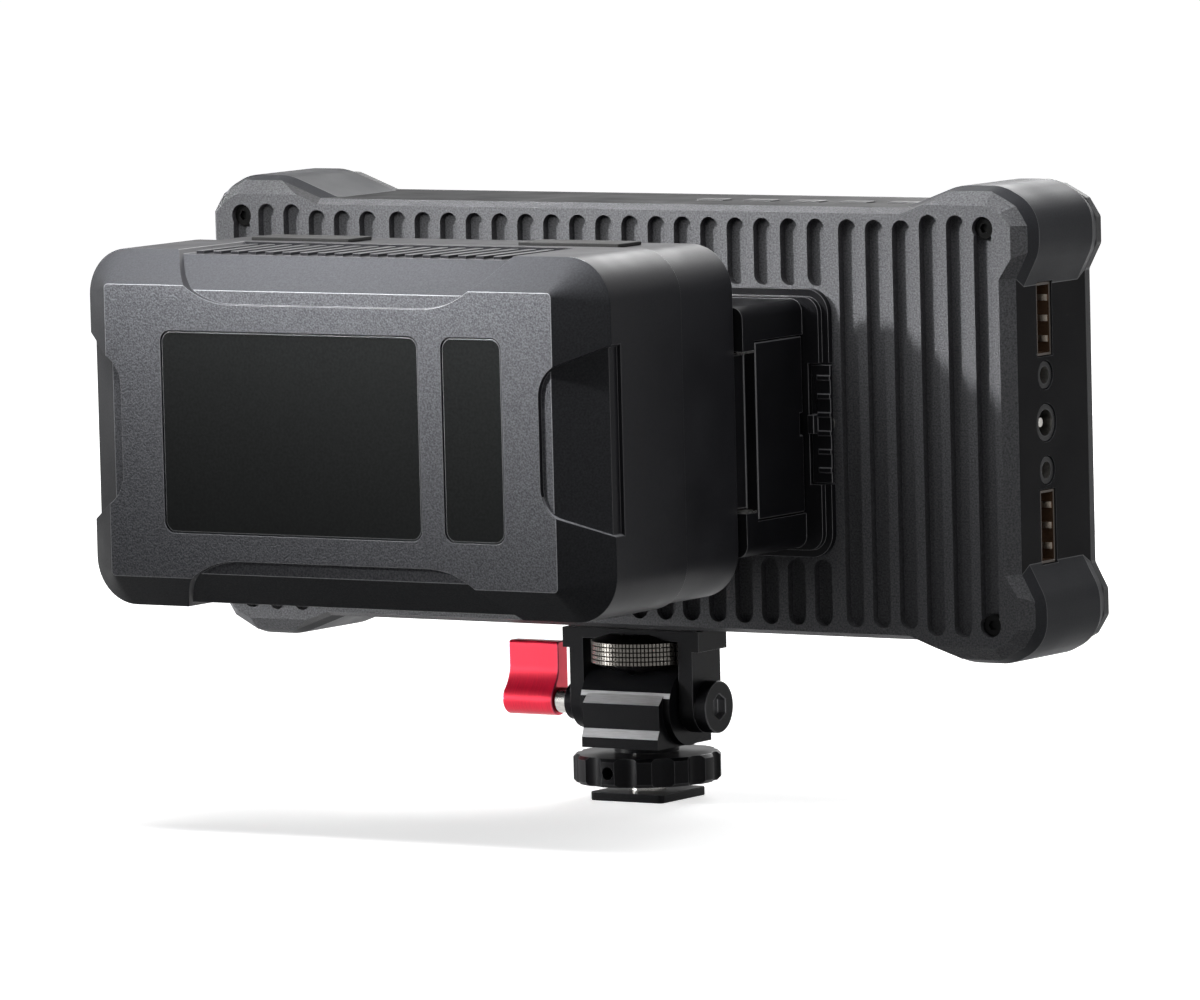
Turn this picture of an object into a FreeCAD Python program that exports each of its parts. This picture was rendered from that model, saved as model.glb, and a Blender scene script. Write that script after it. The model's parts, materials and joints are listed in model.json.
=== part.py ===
import FreeCAD, Part
import math
import os
import Sketcher

# Camera field monitor on a tilting shoe mount, with a slide-on battery pack. Millimetres.
# The origin is the centre of the shoe foot's underside. +Z is up, +Y points from the monitor to
# its battery, and the screen faces -Y. Each driving size stands once in SIZES, goes into the
# sheet under its own name, and reaches the pieces as an expression.

SIZES = {
    # Clearances that several pieces share
    "run_gap": 0.3,
    "fit_gap": 0.05,
    "slip_gap": 0.2,
    # Shoe foot, its post and the lock wheel
    "shoe_width": 18.5,
    "shoe_depth": 18.0,
    "shoe_thick": 1.9,
    "shoe_corner": 1.2,
    "shoe_gap": 1.9,
    "post_radius": 4.0,
    "post_seat": 1.4,
    "post_reach": 4.6,
    "post_groove_depth": 0.8,
    "post_groove_width": 2.4,
    "lock_wheel_radius": 15.9,
    "lock_wheel_thick": 6.2,
    "lock_wheel_edge": 0.7,
    "flute_radius": 3.6,
    "flute_depth": 1.2,
    "bar_hole_radius": 1.4,
    "bar_hole_depth": 6.0,
    # Swivel base
    "neck_radius": 7.0,
    "neck_height": 1.4,
    "block_width": 19.3,
    "block_depth": 19.9,
    "block_foot_depth": 21.4,
    "block_foot_height": 2.2,
    "block_step": 1.9,
    "block_bevel": 2.3,
    "axis_rise": 8.6,
    "block_over_axis": 3.2,
    "barrel_radius": 8.5,
    "valley_half": 6.1,
    "valley_depth": 1.9,
    "grub_radius": 0.9,
    "grub_length": 2.6,
    # Tilt bracket
    "ear_gap": 24.2,
    "ear_thick": 3.5,
    "ear_radius": 5.65,
    "bracket_rise": 16.6,
    "platform_width": 34.6,
    "platform_thick": 4.4,
    "platform_web": 2.2,
    "bracket_pad_thick": 0.8,
    "bracket_pad_border": 1.0,
    "washer_thick": 0.5,
    "washer_radius": 4.9,
    # Tilt bolt, its spacer and collar, and the lever
    "bolt_radius": 2.0,
    "bolt_head_radius": 5.6,
    "bolt_head_thick": 3.1,
    "bolt_hex_radius": 2.8,
    "bolt_hex_depth": 2.0,
    "bolt_end": 9.0,
    "spacer_thick": 2.9,
    "spacer_radius": 4.0,
    "collar_thick": 3.2,
    "collar_radius": 2.8,
    "lever_hub_radius": 3.4,
    "lever_width": 12.7,
    "lever_reach": 12.6,
    "lever_blade": 3.8,
    "lever_sweep": 7.0,
    "lever_edge": 0.7,
    # Thumb wheel and its quarter-inch screw
    "thumb_radius": 11.5,
    "thumb_thick": 4.9,
    "thumb_edge": 0.4,
    "screw_radius": 3.175,
    "screw_clear": 0.25,
    "screw_bite": 6.0,
    "insert_radius": 5.0,
    "insert_length": 8.0,
    "insert_boss_half": 8.0,
    "insert_boss_height": 10.5,
    # Monitor body
    "back_offset": 12.0,
    "body_depth": 34.5,
    "casing_width": 200.0,
    "casing_height": 91.0,
    "casing_wall": 3.0,
    "bumper_reach_x": 25.0,
    "bumper_slope_x": 10.0,
    "bumper_rise": 3.7,
    "bumper_side": 3.0,
    "bumper_crown": 1.0,
    "crown_depth": 3.2,
    "bumper_reach_z": 14.5,
    "bumper_slope_z": 5.5,
    "corner_cut_x": 8.4,
    "corner_cut_z": 7.0,
    "corner_mid_x": 2.6,
    "corner_mid_z": 3.0,
    "corner_block_x": 9.0,
    "corner_block_z": 6.5,
    # Ribbed rear cover
    "cover_thick": 3.0,
    "cover_inset_x": 2.4,
    "cover_inset_z": 1.1,
    "cover_bump_inset": 2.8,
    "cover_screw_inset_x": 6.1,
    "cover_screw_inset_z": 3.9,
    "cover_hole_radius": 2.5,
    "cover_hole_depth": 2.2,
    "groove_radius": 2.2,
    "groove_depth": 2.0,
    "groove_end": 43.1,
    "groove_bump_end": 44.3,
    "groove_short_end": 28.9,
    "groove_step": 1.15,
    # Front bezel, glass and panel
    "bezel_thick": 3.0,
    "bezel_edge": 0.9,
    "bezel_side": 25.0,
    "bezel_rail": 6.0,
    "glass_thick": 1.1,
    "glass_border": 3.0,
    "glass_sink": 0.3,
    "panel_border": 2.4,
    "panel_thick": 2.4,
    "backlight_thick": 3.2,
    "carrier_thick": 1.2,
    # Boards and their fixings
    "board_thick": 1.6,
    "board_standoff": 6.8,
    "board_short": 27.0,
    "board_low": 31.0,
    "board_high": 35.0,
    "board_boss_radius": 3.0,
    "board_boss_inset": 37.0,
    "board_boss_z": 27.0,
    "chip_size": 17.0,
    "chip_thick": 1.5,
    # Ports on the side wall
    "port_pitch_jack": 10.0,
    "port_pitch_video": 21.8,
    "video_length": 15.4,
    "video_height": 6.0,
    "video_deep": 12.0,
    "video_wall": 0.6,
    "video_throat": 9.0,
    "tongue_recess": 4.8,
    "tongue_thick": 1.3,
    "tongue_border": 1.7,
    "jack_nose_radius": 2.9,
    "jack_bore_radius": 1.8,
    "jack_body": 6.0,
    "jack_deep": 13.0,
    "dc_nose_radius": 3.9,
    "dc_bore_radius": 2.75,
    "dc_body": 8.0,
    "dc_pin_radius": 1.05,
    "dc_pin_sink": 1.2,
    "port_sink": 0.3,
    "jack_bore_deep": 11.0,
    # Keys along the top edge
    "key_margin": 3.0,
    "key_pitch": 12.0,
    "key_width": 7.2,
    "key_depth": 3.6,
    "key_proud": 0.3,
    "key_travel": 0.8,
    "key_flange": 0.8,
    "key_flange_thick": 1.0,
    "key_y": 4.0,
    "switch_half": 2.4,
    "key_board_depth": 9.0,
    "key_board_border": 6.0,
    # Battery plate on the rear cover
    "pad_half_x": 56.6,
    "pad_half_z": 28.4,
    "pad_corner": 5.2,
    "pad_step_thick": 1.6,
    "pad_step": 1.6,
    "pad_thick": 3.0,
    "rail_margin": 5.6,
    "rail_left": 22.0,
    "rail_thick": 7.4,
    "rail_depth": 23.5,
    "rail_lip": 2.4,
    "rail_lip_depth": 4.5,
    "rail_round": 2.6,
    "rail_stop_thick": 3.0,
    "clip_thick": 0.5,
    "clip_length": 6.0,
    "plate_screw_inset": 8.6,
    "plate_screw_z": 10.0,
    # Release button
    "button_width": 4.8,
    "button_length": 25.0,
    "button_thick": 1.0,
    "button_gap": 1.6,
    "button_travel": 1.2,
    "button_rib_pitch": 3.9,
    "button_rib_width": 1.0,
    "button_rib_height": 0.3,
    "button_rib_length": 3.2,
    "tooth_width": 4.0,
    "tooth_rise": 1.2,
    "tooth_thick": 1.5,
    "spring_radius": 1.4,
    "spring_wire": 0.2,
    "spring_pocket": 1.4,
    # Battery pack
    "pack_shift_x": 15.7,
    "pack_shift_z": 2.4,
    "pack_corner": 10.0,
    "pack_wall": 4.0,
    "nose_wall": 3.5,
    "pack_rear_depth": 21.0,
    "pack_front_depth": 27.0,
    "pack_nose_depth": 8.0,
    "pack_bevel_x": 9.4,
    "pack_bevel_z": 6.9,
    "pack_nose_corner": 1.0,
    "pack_seam": 0.6,
    "recess_depth": 1.0,
    "top_recess_back": 24.0,
    "top_recess_half": 33.0,
    "top_recess_flare": 10.0,
    "top_recess_bite": 3.9,
    "top_recess_round": 20.0,
    "side_recess_back": 3.5,
    "side_recess_half": 14.0,
    "side_recess_flare": 6.2,
    "side_recess_bite": 3.6,
    "side_recess_round": 7.2,
    "grip_pitch": 4.4,
    "grip_width": 2.0,
    "grip_length": 21.0,
    "grip_height": 0.8,
    "label_sink": 0.7,
    "label_thick": 0.5,
    "label_corner": 2.4,
    "label_large_x": 25.2,
    "label_large_width": 65.0,
    "label_narrow_x": 20.4,
    "label_narrow_width": 14.9,
    "label_height": 42.6,
    "foot_half": 18.6,
    "foot_neck_back": 3.0,
    "foot_slot_deep": 9.0,
    "foot_slot_wide": 5.0,
    "contact_pitch": 8.0,
    "contact_thick": 0.8,
    "contact_reach": 6.0,
    "cell_radius": 9.2,
    "cell_length": 65.0,
    "cell_pitch": 18.8,
    "tray_thick": 4.0,
    "tray_floor": 1.2,
    "tray_side_room": 14.5,
    "tray_end_room": 0.05,
    "pack_board_thick": 1.6,
    "pack_board_border": 2.0,
    "pack_boss_radius": 3.6,
    "pack_boss_inset": 2.4,
    "rest_length": 25.0,
    "rest_depth": 9.0,
    "rest_thick": 0.8,
    "rest_spread": 34.0,
    # Small screws, shared by every fixing
    "head_radius": 2.2,
    "head_thick": 1.2,
    "shank_radius": 1.2,
    "shank_length": 5.0,
    "drive_radius": 1.1,
    "drive_depth": 0.7,
}

# How many of each repeated feature there are

FLUTES = 12
SHORT_GROOVE_COUNT = 17
LONG_GROOVE_COUNT = 3
BUTTON_RIBS = 6
SPRING_TURNS = 3
GRIPS = 18
CELL_COLUMNS = 5
CELL_ROWS = 2
BUMP_GROOVE_COUNT = 2
CONTACTS = 4

doc = FreeCAD.newDocument("field_monitor")
sheet = doc.addObject("Spreadsheet::Sheet", "Sizes")
for row, (alias, value) in enumerate(SIZES.items(), start=1):
    sheet.set("A%d" % row, alias)
    sheet.set("B%d" % row, str(value))
    sheet.setAlias("B%d" % row, alias)
doc.recompute()


class Size:
    """A length that carries its number and the sheet expression that gives it."""

    def __init__(self, text, number):
        self.text = text
        self.number = number

    def combined(self, mark, other, number):
        return Size("(%s %s %s)" % (self.text, mark, other.text), number)

    def __add__(self, other):
        other = as_size(other)
        return self.combined("+", other, self.number + other.number)

    def __sub__(self, other):
        other = as_size(other)
        return self.combined("-", other, self.number - other.number)

    def __mul__(self, other):
        other = as_size(other)
        return self.combined("*", other, self.number * other.number)

    def __truediv__(self, other):
        other = as_size(other)
        return self.combined("/", other, self.number / other.number)

    def __neg__(self):
        return Size("(-%s)" % self.text, -self.number)

    __radd__ = __add__
    __rmul__ = __mul__


def as_size(value):
    return value if isinstance(value, Size) else Size(repr(value), value)


class Sheet:
    """The driving sizes, as attributes."""


S = Sheet()
for alias in SIZES:
    setattr(S, alias, Size("Sizes." + alias, getattr(sheet, alias)))

ZERO = as_size(0)
nodes = {}


def node(label, piece):
    """Registers a finished piece under the name of its file."""
    piece.Label = label
    nodes[label] = piece
    return piece


def bind(piece, prop, value):
    piece.setExpression(prop, as_size(value).text)


# Solids from primitives

TURNS = {
    "x": FreeCAD.Rotation(FreeCAD.Vector(0, 1, 0), 90),
    "y": FreeCAD.Rotation(FreeCAD.Vector(1, 0, 0), -90),
    "z": FreeCAD.Rotation(),
}


def place(piece, start):
    for letter, value in zip("xyz", start):
        bind(piece, "Placement.Base." + letter, value)


def block(name, x, y, z):
    """A box between low and high limits along each axis."""
    piece = doc.addObject("Part::Box", name)
    for prop, (low, high) in zip(("Length", "Width", "Height"), (x, y, z)):
        bind(piece, prop, as_size(high) - low)
    place(piece, (x[0], y[0], z[0]))
    return piece


def rod(name, axis, start, radius, length):
    """A cylinder that runs from its start point along +X, +Y or +Z."""
    piece = doc.addObject("Part::Cylinder", name)
    piece.Placement = FreeCAD.Placement(FreeCAD.Vector(), TURNS[axis])
    bind(piece, "Radius", radius)
    bind(piece, "Height", length)
    place(piece, start)
    return piece


def hexagon(name, axis, start, radius, length):
    """A six-sided prism, for a hex socket."""
    piece = doc.addObject("Part::Prism", name)
    piece.Polygon = 6
    piece.Placement = FreeCAD.Placement(FreeCAD.Vector(), TURNS[axis])
    bind(piece, "Circumradius", radius)
    bind(piece, "Height", length)
    place(piece, start)
    return piece


def join(name, *pieces):
    piece = doc.addObject("Part::MultiFuse", name)
    piece.Shapes = list(pieces)
    piece.Refine = True
    return piece


def cut(name, base, *tools):
    piece = doc.addObject("Part::Cut", name)
    piece.Base = base
    piece.Tool = tools[0] if len(tools) == 1 else join(name + "_tools", *tools)
    return piece


def group(name, pieces):
    piece = doc.addObject("Part::Compound", name)
    piece.Links = list(pieces)
    return piece


def eased(kind, name, base, radius, chosen):
    """A Part::Fillet or Part::Chamfer on the edges that the test chooses."""
    doc.recompute()
    piece = doc.addObject(kind, name)
    piece.Base = base
    size = radius.number
    piece.Edges = [(i, size, size) for i, edge in enumerate(base.Shape.Edges, start=1) if chosen(edge)]
    return piece


def span(edge):
    """The edge's extent along each axis."""
    box = edge.BoundBox
    return box.XLength, box.YLength, box.ZLength


def near(value, size):
    return abs(value - as_size(size).number) < 1e-4


# Solids from sketches

def new_body(name):
    return doc.addObject("PartDesign::Body", name)


def sketch_on(body, plane, at):
    """An empty sketch on one of the body's origin planes, moved along that plane's axis."""
    sketch = body.newObject("Sketcher::SketchObject", body.Name + "_sketch")
    support = [feature for feature in body.Origin.OriginFeatures if feature.Role == plane][0]
    sketch.AttachmentSupport = [(support, "")]
    sketch.MapMode = "FlatFace"
    bind(sketch, "AttachmentOffset.Base.z", -as_size(at) if plane == "XZ_Plane" else at)
    return sketch


def fix_value(sketch, constraint, value):
    index = sketch.addConstraint(constraint)
    sketch.setExpression("Constraints[%d]" % index, value.text)


def fix_point(sketch, geometry, point, across, up):
    """Holds one point of the sketch at its two coordinates."""
    for kind, value in (("DistanceX", as_size(across)), ("DistanceY", as_size(up))):
        fix_value(sketch, Sketcher.Constraint(kind, -1, 1, geometry, point, value.number), value)


def flat(across, up):
    return FreeCAD.Vector(as_size(across).number, as_size(up).number, 0)


def draw_outline(sketch, points):
    """A closed outline of straight lines."""
    first = sketch.GeometryCount
    count = len(points)
    for i, point in enumerate(points):
        following = points[(i + 1) % count]
        sketch.addGeometry(Part.LineSegment(flat(*point), flat(*following)), False)
    for i in range(count):
        sketch.addConstraint(Sketcher.Constraint("Coincident", first + i, 2, first + (i + 1) % count, 1))
    for i, point in enumerate(points):
        fix_point(sketch, first + i, 1, *point)


def draw_circle(sketch, across, up, radius):
    radius = as_size(radius)
    index = sketch.addGeometry(Part.Circle(flat(across, up), FreeCAD.Vector(0, 0, 1), radius.number), False)
    fix_point(sketch, index, 3, across, up)
    fix_value(sketch, Sketcher.Constraint("Radius", index, radius.number), radius)


def draw_rounded(sketch, across, up, radius):
    """A rectangle between low and high limits, with its four corners rounded."""
    first = sketch.GeometryCount
    (left, right), (low, high) = across, up
    left, right, low, high = as_size(left), as_size(right), as_size(low), as_size(high)
    centres = [
        (right - radius, high - radius),
        (left + radius, high - radius),
        (left + radius, low + radius),
        (right - radius, low + radius),
    ]
    ends = []
    for i, (x, y) in enumerate(centres):
        start = i * math.pi / 2
        circle = Part.Circle(flat(x, y), FreeCAD.Vector(0, 0, 1), radius.number)
        arc = Part.ArcOfCircle(circle, start, start + math.pi / 2)
        sketch.addGeometry(arc, False)
        ends.append((arc.StartPoint, arc.EndPoint))
    for i in range(len(centres)):
        sketch.addGeometry(Part.LineSegment(ends[i][1], ends[(i + 1) % len(centres)][0]), False)
    for i in range(len(centres)):
        line = first + len(centres) + i
        sketch.addConstraint(Sketcher.Constraint("Tangent", first + i, 2, line, 1))
        sketch.addConstraint(Sketcher.Constraint("Tangent", line, 2, first + (i + 1) % len(centres), 1))
    for i, (x, y) in enumerate(centres):
        fix_point(sketch, first + i, 3, x, y)
        if i == 0:
            fix_value(sketch, Sketcher.Constraint("Radius", first, radius.number), radius)
        else:
            sketch.addConstraint(Sketcher.Constraint("Equal", first, first + i))


def draw_slot(sketch, across, low, high, radius):
    """An upright slot with round ends."""
    across, low, high = as_size(across), as_size(low), as_size(high)
    first = sketch.GeometryCount
    axis = FreeCAD.Vector(0, 0, 1)
    top = Part.Circle(flat(across, high - radius), axis, radius.number)
    bottom = Part.Circle(flat(across, low + radius), axis, radius.number)
    upper = Part.ArcOfCircle(top, 0, math.pi)
    lower = Part.ArcOfCircle(bottom, math.pi, 2 * math.pi)
    sketch.addGeometry(upper, False)
    sketch.addGeometry(lower, False)
    sketch.addGeometry(Part.LineSegment(upper.EndPoint, lower.StartPoint), False)
    sketch.addGeometry(Part.LineSegment(lower.EndPoint, upper.StartPoint), False)
    for one, end, other, start in ((0, 2, 2, 1), (2, 2, 1, 1), (1, 2, 3, 1), (3, 2, 0, 1)):
        sketch.addConstraint(Sketcher.Constraint("Tangent", first + one, end, first + other, start))
    fix_point(sketch, first, 3, across, high - radius)
    low_middle = low + radius
    fix_value(sketch, Sketcher.Constraint("DistanceY", -1, 1, first + 1, 3, low_middle.number), low_middle)
    fix_value(sketch, Sketcher.Constraint("Radius", first, radius.number), radius)


def pad(body, sketch, length, reverse=False):
    feature = body.newObject("PartDesign::Pad", body.Name + "_pad")
    feature.Profile = sketch
    bind(feature, "Length", length)
    feature.Reversed = reverse
    return feature


def pocket(body, sketch, length, reverse=False):
    feature = body.newObject("PartDesign::Pocket", body.Name + "_pocket")
    feature.Profile = sketch
    bind(feature, "Length", length)
    feature.Reversed = reverse
    return feature


def loft(body, sketches):
    feature = body.newObject("PartDesign::AdditiveLoft", body.Name + "_loft")
    feature.Profile = sketches[0]
    feature.Sections = sketches[1:]
    feature.Ruled = True
    return feature


def repeat(body, feature, sketch, spacing, count):
    """Repeats a feature along its sketch's first axis, which is +X on an XZ sketch."""
    pattern = body.newObject("PartDesign::LinearPattern", body.Name + "_pattern")
    pattern.Originals = [feature]
    pattern.Direction = (sketch, ["H_Axis"])
    pattern.Mode = "Spacing"
    bind(pattern, "Offset", spacing)
    pattern.Occurrences = count
    body.Tip = pattern
    return pattern


def chamfer(body, size, chosen):
    """Breaks the body's edges that the test chooses."""
    doc.recompute()
    base = body.Tip
    names = ["Edge%d" % i for i, edge in enumerate(base.Shape.Edges, start=1) if chosen(edge)]
    feature = body.newObject("PartDesign::Chamfer", body.Name + "_chamfer")
    feature.Base = (base, names)
    bind(feature, "Size", size)
    return feature


# Heights and depths that the driving sizes give

wheel_low = S.shoe_thick + S.shoe_gap
wheel_top = wheel_low + S.lock_wheel_thick
neck_low = wheel_top + S.run_gap
block_low = neck_low + S.neck_height
axis_z = block_low + S.axis_rise
block_top = axis_z + S.block_over_axis
platform_top = axis_z + S.bracket_rise
casing_low = platform_top + S.bracket_pad_thick
half_w = S.casing_width / 2
half_h = S.casing_height / 2
centre_z = casing_low + half_h
back_y = S.back_offset
casing_rear = back_y - S.cover_thick
bezel_front = back_y - S.body_depth
casing_front = bezel_front + S.bezel_thick
pad_top = back_y + S.pad_thick
rail_end = pad_top + S.rail_depth
pack_rear = rail_end + S.run_gap * 2
pack_parting = pack_rear + S.pack_rear_depth
pack_shoulder = pack_parting + S.pack_front_depth
pack_face = pack_shoulder + S.pack_nose_depth
pack_x = S.pack_shift_x
pack_z = centre_z + S.pack_shift_z


# Shoe foot: the flat plate that slides into a camera's accessory shoe

foot_body = new_body("shoe_foot_body")
foot_outline = sketch_on(foot_body, "XY_Plane", 0)
draw_rounded(foot_outline, (-S.shoe_width / 2, S.shoe_width / 2), (-S.shoe_depth / 2, S.shoe_depth / 2),
             S.shoe_corner)
pad(foot_body, foot_outline, S.shoe_thick)
post_hole = sketch_on(foot_body, "XY_Plane", S.shoe_thick)
draw_circle(post_hole, 0, 0, S.post_radius)
pocket(foot_body, post_hole, S.post_seat)
node("shoe_foot", foot_body)

# Post: stands in the foot, carries the lock wheel's thread and the swivel base, and has a groove
# round it for the grub screw that keeps the base on

post_low = S.shoe_thick - S.post_seat
post_top = block_low + S.post_reach
groove_z = post_top - S.post_groove_width
post_rod = rod("post_rod", "z", (0, 0, post_low), S.post_radius, post_top - post_low)
groove_low = groove_z - S.post_groove_width / 2
post_ring = rod("post_ring", "z", (0, 0, groove_low), S.post_radius * 2, S.post_groove_width)
post_core = rod("post_core", "z", (0, 0, groove_low), S.post_radius - S.post_groove_depth, S.post_groove_width)
node("shoe_post", cut("post_cut", post_rod, cut("post_groove", post_ring, post_core)))

# Lock wheel: screwed down the post to clamp the shoe

wheel_rod = rod("wheel_rod", "z", (0, 0, wheel_low), S.lock_wheel_radius, S.lock_wheel_thick)
wheel_eased = eased("Part::Chamfer", "wheel_eased", wheel_rod, S.lock_wheel_edge,
                    lambda edge: edge.Curve.TypeId == "Part::GeomCircle")
flutes = []
flute_ring = S.lock_wheel_radius + S.flute_radius - S.flute_depth
for i in range(FLUTES):
    turn = 2 * math.pi * (i + 0.5) / FLUTES
    centre = (flute_ring * math.cos(turn), flute_ring * math.sin(turn), wheel_low)
    flutes.append(rod("flute_%d" % i, "z", centre, S.flute_radius, S.lock_wheel_thick))
wheel_bore = rod("wheel_bore", "z", (0, 0, wheel_low), S.post_radius + S.fit_gap, S.lock_wheel_thick)
bar_hole = rod("bar_hole", "y", (0, S.lock_wheel_radius - S.bar_hole_depth, wheel_low + S.lock_wheel_thick / 2),
               S.bar_hole_radius, S.bar_hole_depth)
node("lock_wheel", cut("wheel_cut", wheel_eased, wheel_bore, bar_hole, *flutes))

# Swivel base: a bevelled block on a round neck, turning on the post, with a barrel across it between
# the bracket's ears and a shallow valley over the barrel

half_gap = S.ear_gap / 2
barrel_out = half_gap - S.washer_thick - S.run_gap
half_block = S.block_depth / 2
half_foot = S.block_foot_depth / 2
base_body = new_body("swivel_base_body")
base_side = [
    (half_block - S.block_bevel, block_top),
    (half_block, block_top - S.block_bevel),
    (half_block, block_low + S.block_foot_height + S.block_step),
    (half_foot, block_low + S.block_foot_height),
    (half_foot, block_low),
]
base_outline = sketch_on(base_body, "YZ_Plane", -S.block_width / 2)
draw_outline(base_outline, base_side + [(-y, z) for y, z in reversed(base_side)])
pad(base_body, base_outline, S.block_width)
neck_circle = sketch_on(base_body, "XY_Plane", block_low)
draw_circle(neck_circle, 0, 0, S.neck_radius)
pad(base_body, neck_circle, S.neck_height, reverse=True)
barrel = rod("base_barrel", "x", (-barrel_out, 0, axis_z), S.barrel_radius, barrel_out * 2)
barrel_top = axis_z + S.barrel_radius
valley_body = new_body("base_valley")
valley_end = sketch_on(valley_body, "XZ_Plane", -S.barrel_radius)
draw_outline(valley_end, [
    (ZERO, barrel_top - S.valley_depth),
    (S.valley_half * 2, barrel_top + S.valley_depth),
    (S.valley_half * -2, barrel_top + S.valley_depth),
])
pad(valley_body, valley_end, S.barrel_radius * 2, reverse=True)
post_bore = rod("post_bore", "z", (0, 0, neck_low), S.post_radius + S.fit_gap,
                post_top - neck_low + S.run_gap)
bolt_bore = rod("bolt_bore", "x", (-barrel_out, 0, axis_z), S.bolt_radius + S.fit_gap, barrel_out * 2)
grub_tip = -(S.post_radius - S.post_groove_depth + S.run_gap)
grub_bore = rod("grub_bore", "y", (0, -half_foot, groove_z), S.grub_radius, half_foot)
node("swivel_base", cut("base_cut", join("base_join", base_body, barrel), valley_body, post_bore, bolt_bore,
                        grub_bore))

# Grub screw: its tip runs in the post's groove, so the base turns but stays on

grub_rod = rod("grub_rod", "y", (0, grub_tip - S.grub_length, groove_z), S.grub_radius, S.grub_length)
grub_hex = hexagon("grub_hex", "y", (0, grub_tip - S.grub_length, groove_z), S.grub_radius / 2, S.grub_radius)
node("grub_screw", cut("grub_cut", grub_rod, grub_hex))

# Tilt bracket: a platform under the monitor with two ears round the tilt bolt

ear_out = half_gap + S.ear_thick
half_platform = S.platform_width / 2
platform = block("platform", (-half_platform, half_platform), (-S.ear_radius, S.ear_radius),
                 (platform_top - S.platform_thick, platform_top))
recess = block("recess", (-half_gap, half_gap), (-S.ear_radius, S.ear_radius),
               (platform_top - S.platform_thick, platform_top - S.platform_web))
ears = []
for side, low in (("left", half_gap), ("right", -ear_out)):
    ears.append(block("ear_" + side, (low, low + S.ear_thick), (-S.ear_radius, S.ear_radius),
                      (axis_z, platform_top - S.platform_web)))
    ears.append(rod("ear_end_" + side, "x", (low, 0, axis_z), S.ear_radius, S.ear_thick))
bracket_bore = rod("bracket_bore", "x", (-ear_out, 0, axis_z), S.bolt_radius + S.fit_gap, ear_out * 2)
screw_hole = rod("screw_hole", "z", (0, 0, platform_top - S.platform_thick),
                 S.screw_radius + S.screw_clear, S.platform_thick)
bracket_top = cut("bracket_top", platform, recess)
node("tilt_bracket", cut("bracket_cut", join("bracket_join", bracket_top, *ears), bracket_bore, screw_hole))

# Rubber pad between the platform and the casing

half_pad_x = half_platform - S.bracket_pad_border
half_pad_y = S.ear_radius - S.bracket_pad_border
pad_slab = block("pad_slab", (-half_pad_x, half_pad_x), (-half_pad_y, half_pad_y), (platform_top, casing_low))
pad_hole = rod("pad_hole", "z", (0, 0, platform_top), S.screw_radius + S.screw_clear, S.bracket_pad_thick)
node("bracket_pad", cut("pad_cut", pad_slab, pad_hole))

# Friction washers inside the ears

washers = []
for side, low in (("left", half_gap - S.washer_thick), ("right", -half_gap)):
    disc = rod("washer_disc_" + side, "x", (low, 0, axis_z), S.washer_radius, S.washer_thick)
    hole = rod("washer_hole_" + side, "x", (low, 0, axis_z), S.bolt_radius + S.fit_gap, S.washer_thick)
    washers.append(cut("washer_" + side, disc, hole))
node("friction_washers", group("washers", washers))

# Tilt bolt: hex head outside the right ear, shank through both ears and into the lever

collar_x = ear_out + S.spacer_thick
lever_x = collar_x + S.collar_thick + S.run_gap
bolt_end = lever_x + S.bolt_end
bolt_head_x = -ear_out - S.bolt_head_thick
bolt_head = rod("bolt_head", "x", (bolt_head_x, 0, axis_z), S.bolt_head_radius, S.bolt_head_thick)
bolt_shank = rod("bolt_shank", "x", (-ear_out, 0, axis_z), S.bolt_radius, bolt_end + ear_out)
bolt_hex = hexagon("bolt_hex", "x", (bolt_head_x, 0, axis_z), S.bolt_hex_radius, S.bolt_hex_depth)
node("tilt_bolt", cut("bolt_cut", join("bolt_join", bolt_head, bolt_shank), bolt_hex))

# Spacer and collar on the bolt, between the left ear and the lever


def sleeve(label, start, radius, length):
    body = rod(label + "_rod", "x", (start, 0, axis_z), radius, length)
    hole = rod(label + "_hole", "x", (start, 0, axis_z), S.bolt_radius + S.fit_gap, length)
    node(label, cut(label + "_cut", body, hole))


sleeve("lever_spacer", ear_out, S.spacer_radius, S.spacer_thick)
sleeve("lever_collar", collar_x, S.collar_radius, S.collar_thick)

# Tilt lever: a hub on the bolt's end with an upright blade swept into it

lever_end = lever_x + S.lever_width
blade_back = -S.lever_hub_radius
blade_front = blade_back + S.lever_blade
hub = rod("lever_hub", "x", (lever_x, 0, axis_z), S.lever_hub_radius, S.lever_width)
blade = block("lever_blade", (lever_x, lever_end), (blade_back, blade_front), (axis_z, axis_z + S.lever_reach))
lever_join = join("lever_join", hub, blade)


def is_sweep_edge(edge):
    """The inside corner where the blade's front face meets the hub."""
    middle = edge.BoundBox.Center
    long_in_x = near(span(edge)[0], S.lever_width)
    in_front = near(middle.y, blade_front)
    return long_in_x and in_front and middle.z < (axis_z + S.lever_hub_radius * 1.01).number


def is_blade_top(edge):
    return near(span(edge)[0], S.lever_width) and near(edge.BoundBox.Center.z, axis_z + S.lever_reach)


lever_swept = eased("Part::Fillet", "lever_swept", lever_join, S.lever_sweep, is_sweep_edge)
lever_eased = eased("Part::Fillet", "lever_eased", lever_swept, S.lever_edge, is_blade_top)
lever_bore = rod("lever_bore", "x", (lever_x, 0, axis_z), S.bolt_radius + S.fit_gap, S.bolt_end + S.run_gap)
node("tilt_lever", cut("lever_cut", lever_eased, lever_bore))

# Thumb wheel and the quarter-inch screw that it drives into the monitor

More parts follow.
